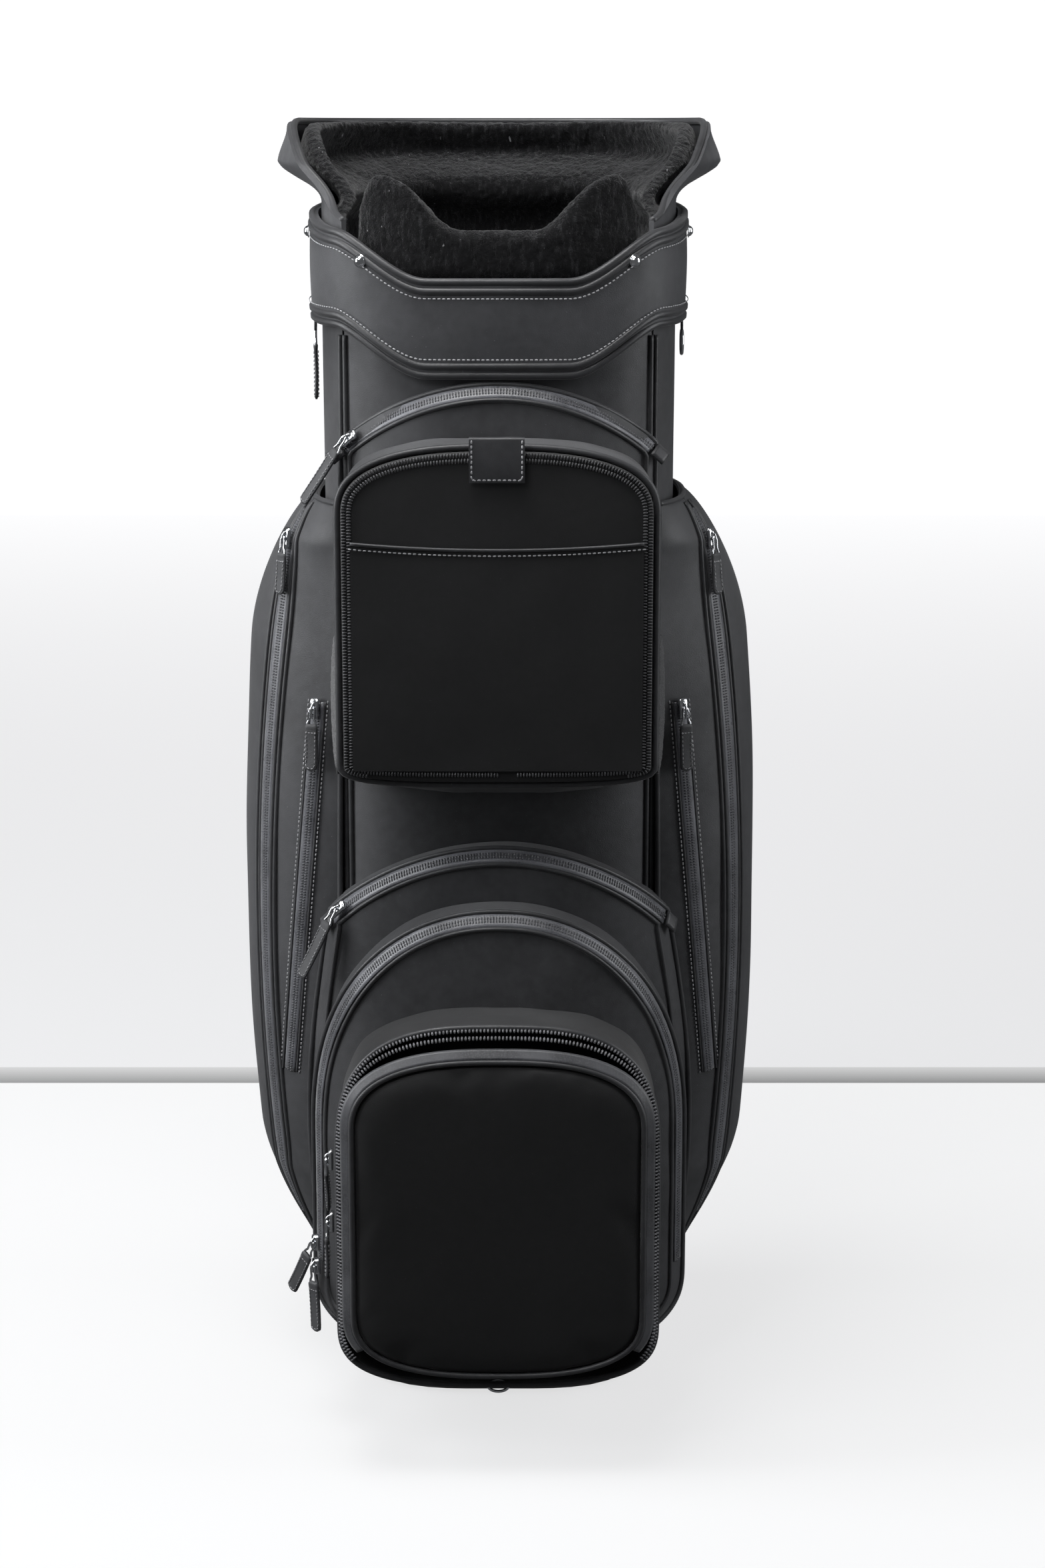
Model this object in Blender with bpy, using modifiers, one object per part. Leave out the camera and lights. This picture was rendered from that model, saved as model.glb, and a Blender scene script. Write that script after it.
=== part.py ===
"""Golf staff bag: trunk with club wells, collar and cuffs, front and side pockets, zips and pulls.

Metres, +Z up. The front faces -Y and the origin is the centre of the base's underside. Angles round
the trunk start at the front and grow towards +X.
"""

import math

import bmesh
import bpy
from mathutils import Matrix, Vector

# Trunk, a tube whose section is a rounded square
TRUNK_HALF_WIDTH = 0.130
TRUNK_HALF_DEPTH = 0.120
TRUNK_SQUARENESS = 3.0
TRUNK_WALL = 0.004
TRUNK_BOTTOM = 0.0125
TRUNK_TOP = 0.822
SEAM_ANGLE = 51.5
SEAM_GAP_ANGLE = 0.45
BASE_TAPER = 0.015
TAPER_TOP = 0.085

# Clearances between pieces that touch on the real bag
GAP = 0.0004
RIM_GAP = 0.0015
RIM_DEEPEST = -0.076

# Base cup
BASE_FLOOR = 0.012
BASE_RIM = 0.055
BASE_WALL = 0.004

# Divider frame and sheets
FRAME_HEIGHT = 0.020
FRAME_RIM = 0.012
BAR_THICKNESS = 0.008
SHEET_THICKNESS = 0.002
CROSS_ROWS = (-0.040, 0.030)
ROD_RADIUS = 0.003

# Collar, lip and cuff
COLLAR_GAP = 0.0012
COLLAR_THICKNESS = 0.0075
COLLAR_FRONT = (0.778, 0.847)
COLLAR_CORNER = (0.812, 0.880)
COLLAR_SIDE = (0.815, 0.893)
COLLAR_BACK = (0.810, 0.900)
LIP_HALF_ANGLE = 47.0
LIP_THICKNESS = 0.0105
LIP_MIDDLE_TOP = 0.884
LIP_HORN_TOP = 0.918
CUFF_START_ANGLE = 52.0
CUFF_FLARE = 0.038
CUFF_START = 0.006
CUFF_RISE = 0.028
CUFF_SPREAD = 1.35
CUFF_ROLL = 0.009
CUFF_ROLL_REACH = 0.030
CUFF_SHELL = 0.0045
CUFF_PAD = 0.0055
STUD_RADIUS = 0.0048

# Side pockets
SIDE_BASE = 0.0045
SIDE_BULGE = 0.0615
SIDE_LOW = 0.085
SIDE_HIGH = 0.686
SIDE_MIDDLE = 0.3825
SIDE_BOW_RADIUS = 2.6
SIDE_CLOSING = 0.11
SIDE_WALL = 0.0025
SIDE_ZIP_ANGLE = 72.0
SIDE_ZIP_HEIGHTS = (0.655, 0.420, 0.170)
SIDE_ZIP_HALF_SLOT = 0.25

# Front pockets: chamfer that carries the zip, and wall
CHAMFER = 0.010
POCKET_WALL = 0.0025
UPPER_HALF_WIDTH = 0.113
UPPER_APEX = 0.774
UPPER_RADIUS = 0.168
UPPER_LOW = 0.492
UPPER_FRONT = -0.134
UPPER_EDGE_STEP = 0.009
LOWER_HALF_WIDTH = 0.125
LOWER_APEX = 0.442
LOWER_RADIUS = 0.168
LOWER_LOW = 0.062
LOWER_SWELL = 0.018

# Cooler pocket
COOLER_LOW = 0.500
COOLER_HIGH = 0.738
COOLER_HALF_WIDTH = 0.111
COOLER_FRONT = -0.1900
COOLER_DOOR_THICKNESS = 0.007
SLIP_TOP = 0.672
COOLER_SAG = 0.018
SAG_REACH = 0.030

# Ball pocket
BALL_FRONT = -0.2350
BALL_DOOR_THICKNESS = 0.014
BALL_LOW = 0.066
BALL_HIGH = 0.337
BALL_HALF_WIDTH = 0.114
BALL_DOOR_LOW = 0.0746
BALL_DOOR_HIGH = 0.3185
BALL_DOOR_HALF_WIDTH = 0.107

# Zip sliders and pulls
SLIDER_WIDTH = 0.009
SLIDER_HEIGHT = 0.004
SLIDER_HOVER = 0.003
PULL_HEIGHT = 0.0015
PULL_THICKNESS = 0.0022
BAIL_WIDTH = 0.0045
BAIL_LENGTH = 0.012
STRIP_WIDTH = 0.0105

LEATHERETTE = ("leatherette", (0.022, 0.023, 0.026), 0.62, 0.0)
FLEECE = ("fleece", (0.010, 0.010, 0.011), 0.95, 0.0)
CHROME = ("chrome", (0.75, 0.76, 0.78), 0.15, 1.0)
MOULDED = ("moulded_black", (0.016, 0.016, 0.017), 0.50, 0.0)
LINING = ("lining_cloth", (0.030, 0.030, 0.032), 0.85, 0.0)
HOOK_LOOP = ("hook_and_loop", (0.028, 0.028, 0.030), 0.98, 0.0)
STEEL = ("stay_steel", (0.45, 0.45, 0.46), 0.35, 1.0)


def clear_scene():
    for old in list(bpy.data.objects):
        bpy.data.objects.remove(old, do_unlink=True)


def new_collection(name):
    collection = bpy.data.collections.new(name)
    bpy.context.scene.collection.children.link(collection)
    return collection


clear_scene()
PARTS = new_collection("golf_staff_bag")
CUTTERS = new_collection("helpers")


def material(finish, name):
    """A Principled material of this finish for one piece."""
    _, colour, roughness, metallic = finish
    made = bpy.data.materials.new(f"{name}_{finish[0]}")
    made.use_nodes = True
    shader = made.node_tree.nodes["Principled BSDF"]
    shader.inputs["Base Color"].default_value = (*colour, 1.0)
    shader.inputs["Roughness"].default_value = roughness
    shader.inputs["Metallic"].default_value = metallic
    return made


def add_object(name, mesh, finish, collection=None):
    piece = bpy.data.objects.new(name, mesh)
    (collection or PARTS).objects.link(piece)
    if finish:
        mesh.materials.append(material(finish, name))
    return piece


def add_helper(name, mesh):
    helper = add_object(name, mesh, None, CUTTERS)
    helper.hide_render = True
    helper.display_type = "WIRE"
    return helper


def smooth_step(low, high, value):
    """0 below low, 1 above high, and a soft S between."""
    share = min(max((value - low) / (high - low), 0.0), 1.0)
    return share * share * (3.0 - 2.0 * share)


def trunk_radius(angle):
    """Distance from the trunk's axis to its outer face at this angle, in degrees."""
    across = abs(math.sin(math.radians(angle))) / TRUNK_HALF_WIDTH
    along = abs(math.cos(math.radians(angle))) / TRUNK_HALF_DEPTH
    return (across**TRUNK_SQUARENESS + along**TRUNK_SQUARENESS) ** (-1.0 / TRUNK_SQUARENESS)


def taper(z):
    """How far the trunk draws in at this height, above its base."""
    return BASE_TAPER * (1.0 - smooth_step(0.0, TAPER_TOP, z))


def polar(angle, radius, z):
    turn = math.radians(angle)
    return Vector((radius * math.sin(turn), -radius * math.cos(turn), z))


def circle_through(first, middle, last):
    """Centre, unit axis and radius of the circle through three points, turning from first to last."""
    to_middle = middle - first
    to_last = last - first
    normal = to_middle.cross(to_last)
    centre = first + (
        to_last.length_squared * normal.cross(to_middle)
        - to_middle.length_squared * normal.cross(to_last)
    ) / (2.0 * normal.length_squared)
    return centre, normal.normalized(), (first - centre).length


# ---- side pocket surface ------------------------------------------------------------------------


def side_profile(z):
    """How far the side pocket stands out at its widest, at this height."""
    if not SIDE_LOW < z < SIDE_HIGH:
        return 0.0
    bow = SIDE_BOW_RADIUS - math.sqrt(SIDE_BOW_RADIUS**2 - (z - SIDE_MIDDLE) ** 2)
    above = min((SIDE_HIGH - z) / SIDE_CLOSING, 1.0)
    below = min((z - SIDE_LOW) / SIDE_CLOSING, 1.0)
    top = math.sin(0.5 * math.pi * above) ** 0.6
    bottom = math.sin(0.5 * math.pi * below)
    return (SIDE_BULGE - bow) * top * bottom


def side_share(angle):
    """Share of the pocket's girth from its front seam, 0, to its rear seam, 1."""
    return (angle - SEAM_ANGLE) / (180.0 - 2.0 * SEAM_ANGLE)


SIDE_ZIP_SHARE = math.sin(math.pi * side_share(SIDE_ZIP_ANGLE))


def zip_radius(z):
    """Radius of the side pocket at its zip before the zip is made a true arc."""
    return trunk_radius(SIDE_ZIP_ANGLE) + SIDE_BASE + side_profile(z) * SIDE_ZIP_SHARE


SIDE_ZIP_POINTS = [polar(SIDE_ZIP_ANGLE, zip_radius(z), z) for z in SIDE_ZIP_HEIGHTS]
SIDE_ZIP_CENTRE, _, SIDE_ZIP_RADIUS = circle_through(*SIDE_ZIP_POINTS)


def side_radius(angle, z):
    """Outer face of the trunk or, between its seams, of the side pocket.

    Near the zip the bulge is made fuller or leaner, so that the zip runs on one true arc.
    """
    angle = abs(angle)
    share = side_share(angle)
    if share <= 0.0 or share >= 1.0 or not SIDE_LOW < z < SIDE_HIGH:
        return trunk_radius(angle) - taper(z)
    height = side_profile(z)
    power = 1.0
    if SIDE_ZIP_HEIGHTS[2] < z < SIDE_ZIP_HEIGHTS[0]:
        reach = math.hypot(SIDE_ZIP_CENTRE.x, SIDE_ZIP_CENTRE.y)
        rise = math.sqrt(SIDE_ZIP_RADIUS**2 - (z - SIDE_ZIP_CENTRE.z) ** 2)
        wanted = rise - reach - trunk_radius(SIDE_ZIP_ANGLE) - SIDE_BASE
        power = math.log(wanted / height) / math.log(SIDE_ZIP_SHARE)
    bump = math.sin(math.pi * share) ** power
    return trunk_radius(angle) + SIDE_BASE + height * bump


def body_front(x, z):
    """The y of the trunk's or side pocket's front face at this x and height."""
    low, high = 0.0, 80.0
    for _ in range(30):
        middle = 0.5 * (low + high)
        if side_radius(middle, z) * math.sin(math.radians(middle)) < abs(x):
            low = middle
        else:
            high = middle
    return -side_radius(low, z) * math.cos(math.radians(low))


# ---- mesh builders ------------------------------------------------------------------------------


def ring_mesh(name, rings, wrap_rings=False, wrap_points=True, cap_first=False, cap_last=False):
    """A surface through rings of points. Faces look out when a ring's turn crosses the next ring."""
    mesh = bpy.data.meshes.new(name)
    form = bmesh.new()
    made = [[form.verts.new(point) for point in ring] for ring in rings]
    count = len(rings[0])
    steps = count if wrap_points else count - 1
    pairs = list(zip(made, made[1:]))
    if wrap_rings:
        pairs.append((made[-1], made[0]))
    for lower, upper in pairs:
        for i in range(steps):
            j = (i + 1) % count
            form.faces.new((lower[i], lower[j], upper[j], upper[i]))
    if cap_first:
        form.faces.new(reversed(made[0]))
    if cap_last:
        form.faces.new(made[-1])
    form.to_mesh(mesh)
    form.free()
    return mesh


def solidify(piece, thickness):
    wall = piece.modifiers.new("wall", "SOLIDIFY")
    wall.thickness = thickness
    wall.offset = -1.0
    wall.use_even_offset = True
    wall.use_quality_normals = True
    return piece


def shell(name, point_at, columns, rows, thickness, finish, wrap=False):
    """A surface point_at(u, v) with this wall behind it. u runs round, v upwards."""
    last = columns if wrap else columns + 1
    rings = [
        [point_at(i / columns, j / rows) for i in range(last)] for j in range(rows + 1)
    ]
    mesh = ring_mesh(name, rings, wrap_points=wrap)
    mesh.shade_smooth()
    return solidify(add_object(name, mesh, finish), thickness)


def trunk_ring(offset, z, count=48):
    """A closed ring round the trunk, this far outside its outer face."""
    angles = [360.0 * i / count for i in range(count)]
    return [polar(angle, trunk_radius(angle) + offset - taper(z), z) for angle in angles]


def bevelled_box(name, size, bevel, finish, frame=None):
    """A box of this size centred on its frame's origin."""
    mesh = bpy.data.meshes.new(name)
    form = bmesh.new()
    bmesh.ops.create_cube(form, size=1.0)
    bmesh.ops.scale(form, vec=size, verts=form.verts)
    form.to_mesh(mesh)
    form.free()
    piece = add_object(name, mesh, finish)
    piece.matrix_world = frame or Matrix.Identity(4)
    if bevel:
        edge = piece.modifiers.new("edges", "BEVEL")
        edge.width = bevel
        edge.segments = 1
    return piece


def rod(name, radius, start, end, sides, finish):
    """A round bar from start to end."""
    mesh = bpy.data.meshes.new(name)
    form = bmesh.new()
    length = (end - start).length
    bmesh.ops.create_cone(
        form, cap_ends=True, segments=sides, radius1=radius, radius2=radius, depth=length
    )
    form.to_mesh(mesh)
    form.free()
    mesh.shade_smooth()
    mesh.set_sharp_from_angle(angle=math.radians(40.0))
    piece = add_object(name, mesh, finish)
    turn = (end - start).to_track_quat("Z", "Y")
    piece.matrix_world = Matrix.Translation((start + end) / 2.0) @ turn.to_matrix().to_4x4()
    return piece


def frame_at(point, across, along, out):
    """A matrix whose X, Y and Z are these directions, at this point."""
    turn = Matrix((across, along, out)).transposed()
    return Matrix.Translation(point) @ turn.to_4x4()


# ---- pocket outlines, as (x, z) points that turn anticlockwise seen from the front --------------


def mirrored(right):
    """A closed outline from its right half, which runs from bottom centre to top centre."""
    left = [(-x, z) for x, z in reversed(right) if x > 1e-9]
    return right + left


def arch_outline(half_width, apex, radius, leg, inset, arc_steps=9):
    """A round-topped pocket: a leg of points up each side and one arc over the top."""
    centre = apex - radius
    right = [(leg[0][0] * step / 6, leg[0][1] + inset) for step in range(6)]
    right += [(x - inset, max(z, leg[0][1] + inset)) for x, z in leg]
    end = math.asin(half_width / radius)
    for step in range(arc_steps + 1):
        turn = end * (1.0 - step / arc_steps)
        right.append(((radius - inset) * math.sin(turn), centre + (radius - inset) * math.cos(turn)))
    right[-1] = (0.0, apex - inset)
    return mirrored(right)


def round_outline(half_width, low, leg_low, leg_high, high, low_power, high_power, inset=0.0):
    """A pocket with straight sides between soft, rounded ends. A higher power is squarer."""
    steps = 10
    right = []
    for step in range(steps + 1):
        turn = 0.5 * math.pi * step / steps
        x = (half_width - inset) * math.sin(turn) ** (2.0 / low_power)
        z = leg_low - (leg_low - low - inset) * max(math.cos(turn), 0.0) ** (2.0 / low_power)
        right.append((x, z))
    for step in range(steps + 1):
        turn = 0.5 * math.pi * step / steps
        x = (half_width - inset) * max(math.cos(turn), 0.0) ** (2.0 / high_power)
        z = leg_high + (high - inset - leg_high) * math.sin(turn) ** (2.0 / high_power)
        right.append((x, z))
    right[-1] = (0.0, high - inset)
    return mirrored(right)


def tray(name, outer, inner, back, front, finish):
    """A hollow pocket: a wall from the back face, a chamfer for its zip, and a front panel.

    outer and inner are outlines; back and front give y at (x, z). Its hollow opens backwards.
    """
    centre_z = sum(z for _, z in inner) / len(inner)
    rings = [[Vector((x, back(x, z), z)) for x, z in outer]]
    rings.append([Vector((x, min(front(x, z) + CHAMFER, back(x, z) - 0.001), z)) for x, z in outer])
    rings.append([Vector((x, front(x, z), z)) for x, z in inner])
    for share in (0.66, 0.33, 0.05):
        ring = [(x * share, centre_z + (z - centre_z) * share) for x, z in inner]
        rings.append([Vector((x, front(x, z), z)) for x, z in ring])
    mesh = ring_mesh(name, rings, cap_last=True)
    mesh.shade_smooth()
    mesh.set_sharp_from_angle(angle=math.radians(35.0))
    return solidify(add_object(name, mesh, finish), POCKET_WALL)


# ---- front faces of the pockets -----------------------------------------------------------------


def rim_on_body(x, z):
    """The y of a pocket's rim, clear of the body under the whole thickness of its wall."""
    reach = max(abs(x) - 1.5 * POCKET_WALL, 0.0)
    near = [body_front(reach, z + step) for step in (-0.004, 0.0, 0.004)]
    return min(min(near) - RIM_GAP, RIM_DEEPEST)


def upper_front(x, z):
    edge = body_front(UPPER_HALF_WIDTH - CHAMFER, UPPER_APEX) - UPPER_EDGE_STEP
    share = min(abs(x) / (UPPER_HALF_WIDTH - CHAMFER), 1.0)
    return UPPER_FRONT + (edge - UPPER_FRONT) * share**3


def lower_front(x, z):
    return -0.150 + 0.040 * min(abs(x) / 0.133, 1.0) ** 3


def rim_on_lower(x, z):
    return lower_front(max(abs(x) - 2.0 * POCKET_WALL, 0.0), z) - RIM_GAP


def middle_front(x, z):
    return -0.190 + 0.030 * (abs(x) / 0.128) ** 4


def upper_outline(inset):
    leg = ((UPPER_HALF_WIDTH - 0.010, UPPER_LOW), (UPPER_HALF_WIDTH, UPPER_LOW + 0.010))
    return arch_outline(UPPER_HALF_WIDTH, UPPER_APEX, UPPER_RADIUS, leg, inset)


def lower_outline(inset):
    """The rear lower pocket, widest at mid-height, with soft bottom corners."""
    centre = LOWER_APEX - LOWER_RADIUS
    top = centre + math.sqrt(LOWER_RADIUS**2 - LOWER_HALF_WIDTH**2)
    leg = [(0.104, LOWER_LOW), (0.116, LOWER_LOW + 0.004)]
    steps = 14
    for step in range(1, steps):
        share = step / steps
        z = LOWER_LOW + (top - LOWER_LOW) * share
        leg.append((LOWER_HALF_WIDTH + LOWER_SWELL * math.sin(math.pi * share), z))
    return arch_outline(LOWER_HALF_WIDTH, LOWER_APEX, LOWER_RADIUS, leg, inset)


def middle_outline(inset):
    return round_outline(0.137, 0.066, 0.120, 0.230, 0.405, 3.0, 2.2, inset)


def ball_outline(inset):
    return round_outline(BALL_HALF_WIDTH, BALL_LOW, 0.115, 0.235, BALL_HIGH, 3.0, 3.0, inset)


def cooler_outline(inset):
    return round_outline(
        COOLER_HALF_WIDTH, COOLER_LOW, 0.515, 0.690, COOLER_HIGH, 3.0, 2.6, inset
    )


# ---- trunk, base and dividers -------------------------------------------------------------------


def trunk_panel(name, first, last, columns):
    def point_at(u, v):
        angle = first + (last - first) * u
        z = TRUNK_BOTTOM + (TRUNK_TOP - TRUNK_BOTTOM) * v * v
        return polar(angle, trunk_radius(angle) - taper(z), z)

    shell(name, point_at, columns, 10, TRUNK_WALL, LEATHERETTE)


def make_trunk():
    edge = SEAM_ANGLE
    side = 180.0 - edge
    gap = SEAM_GAP_ANGLE
    trunk_panel("trunk_front_panel", -edge + gap, edge - gap, 14)
    trunk_panel("trunk_right_panel", edge + gap, side - gap, 10)
    trunk_panel("trunk_back_panel", side + gap, 360.0 - side - gap, 14)
    trunk_panel("trunk_left_panel", 180.0 + edge + gap, 360.0 - edge - gap, 10)


def make_base():
    clear = 0.0006
    heights = [0.5 * (BASE_FLOOR + 0.5 * BASE_RIM), 0.5 * BASE_RIM, 0.75 * BASE_RIM, BASE_RIM]
    rings = [trunk_ring(-0.006, 0.0), trunk_ring(BASE_WALL + clear, 0.008)]
    rings += [trunk_ring(BASE_WALL + clear, z) for z in heights]
    rings += [trunk_ring(clear, z) for z in reversed(heights)]
    rings.append(trunk_ring(clear, BASE_FLOOR))
    mesh = ring_mesh("base_cup", rings, cap_first=True, cap_last=True)
    mesh.shade_smooth()
    mesh.set_sharp_from_angle(angle=math.radians(35.0))
    add_object("base_cup", mesh, MOULDED)


def helper_box(name, low, high):
    mesh = bpy.data.meshes.new(name)
    form = bmesh.new()
    bmesh.ops.create_cube(form, size=1.0)
    size = [b - a for a, b in zip(low, high)]
    bmesh.ops.scale(form, vec=size, verts=form.verts)
    middle = [0.5 * (a + b) for a, b in zip(low, high)]
    bmesh.ops.translate(form, vec=middle, verts=form.verts)
    form.to_mesh(mesh)
    form.free()
    return add_helper(name, mesh)


def make_divider_frame():
    """The rim on the trunk's top edge, with bars that part the five club wells."""
    low = TRUNK_TOP + GAP
    high = low + FRAME_HEIGHT
    rings = [
        trunk_ring(-FRAME_RIM, low),
        trunk_ring(0.0, low),
        trunk_ring(0.0, high),
        trunk_ring(-FRAME_RIM, high),
    ]
    frame = add_object("divider_frame", ring_mesh("divider_frame", rings, True), MOULDED)
    half = BAR_THICKNESS / 2.0
    inside = FRAME_RIM / 2.0
    bars = []
    for row in CROSS_ROWS:
        reach = half_width_at(row) - inside
        bars.append(((-reach, row - half, low + 0.001), (reach, row + half, high - 0.001)))
    front, rear = CROSS_ROWS
    back = TRUNK_HALF_DEPTH - inside
    bars.append(((-half, front, low + 0.002), (half, rear, high - 0.002)))
    bars.append(((-half, rear, low + 0.002), (half, back, high - 0.002)))
    for number, (start, end) in enumerate(bars, 1):
        join = frame.modifiers.new(f"bar_{number}", "BOOLEAN")
        join.operation = "UNION"
        join.solver = "EXACT"
        join.object = helper_box(f"divider_bar_{number}", start, end)


def half_width_at(y):
    """The trunk's outer half-width at this y."""
    share = (abs(y) / TRUNK_HALF_DEPTH) ** TRUNK_SQUARENESS
    return TRUNK_HALF_WIDTH * (1.0 - share) ** (1.0 / TRUNK_SQUARENESS)


def divider_sheet(name, outline, first, last):
    """A sheet whose outline is swept between two places. Both return a point from the outline's."""
    rings = [[first(a, z) for a, z in outline], [last(a, z) for a, z in outline]]
    add_object(name, ring_mesh(name, rings, cap_first=True, cap_last=True), LINING)


def make_dividers():
    """Full-length cloth sheets under the bars of the frame, cut to the trunk's tapered foot."""
    low = BASE_FLOOR + 2.0 * GAP
    high = TRUNK_TOP - GAP
    half = SHEET_THICKNESS / 2.0
    foot = 1.15 * BASE_TAPER
    front, rear = CROSS_ROWS
    for name, row in (("divider_sheet_front", front), ("divider_sheet_rear", rear)):
        reach = half_width_at(abs(row) + half) - TRUNK_WALL - 0.001
        outline = [(-reach + foot, low), (reach - foot, low), (reach, TAPER_TOP)]
        outline += [(reach, high), (-reach, high), (-reach, TAPER_TOP)]
        divider_sheet(
            name,
            outline,
            lambda a, z: Vector((a, row + half, z)),
            lambda a, z: Vector((a, row - half, z)),
        )
    back = TRUNK_HALF_DEPTH - TRUNK_WALL - 0.001
    start = front + half + GAP
    end = rear - half - GAP
    middle = [(start, low), (end, low), (end, high), (start, high)]
    start = rear + half + GAP
    last = [(start, low), (back - foot, low), (back, TAPER_TOP), (back, high), (start, high)]
    for name, outline in (("divider_sheet_middle", middle), ("divider_sheet_back", last)):
        divider_sheet(
            name,
            outline,
            lambda a, z: Vector((-half, a, z)),
            lambda a, z: Vector((half, a, z)),
        )


def make_rods():
    """Stay rods that hold the trunk up, one inside each side wall."""
    x = TRUNK_HALF_WIDTH - TRUNK_WALL - ROD_RADIUS - 0.001
    for name, side in (("stay_rod_left", -1.0), ("stay_rod_right", 1.0)):
        start = Vector((side * (x - BASE_TAPER), 0.0, BASE_FLOOR + 2.0 * GAP))
        end = Vector((side * x, 0.0, TRUNK_TOP - GAP))
        rod(name, ROD_RADIUS, start, end, 12, STEEL)


# ---- collar, lip and cuff -----------------------------------------------------------------------


def collar_edge(angle, which):
    """Height of the collar's lower (0) or upper (1) edge at this angle."""
    turn = abs((angle + 180.0) % 360.0 - 180.0)
    z = COLLAR_FRONT[which]
    z += (COLLAR_CORNER[which] - COLLAR_FRONT[which]) * smooth_step(22.0, 52.0, turn)
    z += (COLLAR_SIDE[which] - COLLAR_CORNER[which]) * smooth_step(45.0, 90.0, turn)
    z += (COLLAR_BACK[which] - COLLAR_SIDE[which]) * smooth_step(90.0, 150.0, turn)
    return z


def collar_point(u, v):
    angle = 360.0 * u
    low = collar_edge(angle, 0)
    high = collar_edge(angle, 1)
    outside = COLLAR_GAP + COLLAR_THICKNESS
    return polar(angle, trunk_radius(angle) + outside, low + (high - low) * v)


def make_collar():
    shell("collar_band", collar_point, 48, 1, COLLAR_THICKNESS, LEATHERETTE, wrap=True)


def lip_top(angle):
    turn = abs(angle)
    rise = (LIP_HORN_TOP - LIP_MIDDLE_TOP) * smooth_step(12.0, 38.0, turn)
    drop = 0.030 * smooth_step(41.0, LIP_HALF_ANGLE + 2.0, turn)
    return LIP_MIDDLE_TOP + rise - drop


def lip_point(u, v):
    angle = -LIP_HALF_ANGLE + 2.0 * LIP_HALF_ANGLE * u
    low = TRUNK_TOP + FRAME_HEIGHT + 2.0 * GAP
    z = low + (lip_top(angle) - low) * v
    return polar(angle, trunk_radius(angle) - 0.0005, z)


def cuff_angle(u, inset=0.0):
    start = CUFF_START_ANGLE + inset
    return start + (360.0 - 2.0 * start) * u


def cuff_top(angle):
    turn = 180.0 - abs(angle - 180.0)
    return 0.885 + 0.070 * smooth_step(48.0, 108.0, turn)


def cuff_offset(z, angle):
    """How far the cuff's outer face flares beyond the trunk at this height."""
    turn = 180.0 - abs(angle - 180.0)
    flare = CUFF_FLARE * smooth_step(50.0, 105.0, turn)
    start = collar_edge(angle, 1) + CUFF_START
    roll = CUFF_ROLL * smooth_step(cuff_top(angle) - CUFF_ROLL_REACH, cuff_top(angle), z)
    roll *= smooth_step(50.0, 105.0, turn)
    return -0.0005 + flare * smooth_step(start, start + CUFF_RISE, z) - roll


def cuff_surface(depth, trim, drop):
    """The cuff's face this far inside its outer one, shortened at its ends and top."""

    def point_at(u, v):
        angle = cuff_angle(u, trim)
        low = TRUNK_TOP + FRAME_HEIGHT + 2.0 * GAP
        z = low + (cuff_top(angle) - drop - low) * v
        flared = depth * (1.0 + CUFF_SPREAD * smooth_step(0.885, 0.900, z))
        return polar(angle, trunk_radius(angle) + cuff_offset(z, angle) - flared, z)

    return point_at


def make_mouth():
    shell("front_lip_pad", lip_point, 20, 3, LIP_THICKNESS, FLEECE)
    shell("rear_cuff_shell", cuff_surface(0.0, 0.0, 0.0), 28, 11, CUFF_SHELL, LEATHERETTE)
    inner = cuff_surface(CUFF_SHELL + 0.0012, 0.6, 0.003)
    shell("rear_cuff_pad", inner, 28, 11, CUFF_PAD, FLEECE)


def make_studs():
    """Domed rivets that hold the cuffs to the collar."""
    places = (
        ("stud_front_left", -41.0, 0.859),
        ("stud_front_right", 41.0, 0.859),
        ("stud_side_left", -77.0, 0.877),
        ("stud_side_right", 77.0, 0.877),
    )
    for name, angle, z in places:
        mesh = bpy.data.meshes.new(name)
        form = bmesh.new()
        bmesh.ops.create_uvsphere(form, u_segments=12, v_segments=8, radius=STUD_RADIUS)
        bmesh.ops.bisect_plane(
            form,
            geom=form.verts[:] + form.edges[:] + form.faces[:],
            plane_co=(0.0, 0.0, 0.0),
            plane_no=(0.0, 0.0, -1.0),
            clear_outer=True,
        )
        bmesh.ops.holes_fill(form, edges=form.edges[:])
        bmesh.ops.recalc_face_normals(form, faces=form.faces[:])
        form.to_mesh(mesh)
        form.free()
        mesh.shade_smooth()
        mesh.set_sharp_from_angle(angle=math.radians(60.0))
        outside = COLLAR_GAP + COLLAR_THICKNESS + 0.0006
        point = polar(angle, trunk_radius(angle) + outside, z)
        step = 2.0
        ahead = polar(angle + step, trunk_radius(angle + step), z)
        behind = polar(angle - step, trunk_radius(angle - step), z)
        along = (ahead - behind).normalized()
        out = along.cross(Vector((0.0, 0.0, 1.0)))
        stud = add_object(name, mesh, CHROME)
        stud.matrix_world = frame_at(point, along, Vector((0.0, 0.0, 1.0)), out)


# ---- side pockets -------------------------------------------------------------------------------


def side_panel(name, side, first, last, columns, rows=16):
    """One panel of a side pocket between two angles. side is 1 for right and -1 for left."""

    def point_at(u, v):
        share = u if side > 0 else 1.0 - u
        angle = first + (last - first) * share
        span = SIDE_HIGH - SIDE_LOW
        eased = 0.5 - 0.5 * math.cos(math.pi * v)
        z = SIDE_LOW + span * (0.5 * v + 0.5 * eased)
        z = min(max(z, SIDE_LOW + 1e-5), SIDE_HIGH - 1e-5)
        return polar(side * angle, side_radius(angle, z), z)

    shell(name, point_at, columns, rows, SIDE_WALL, LEATHERETTE)


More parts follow.
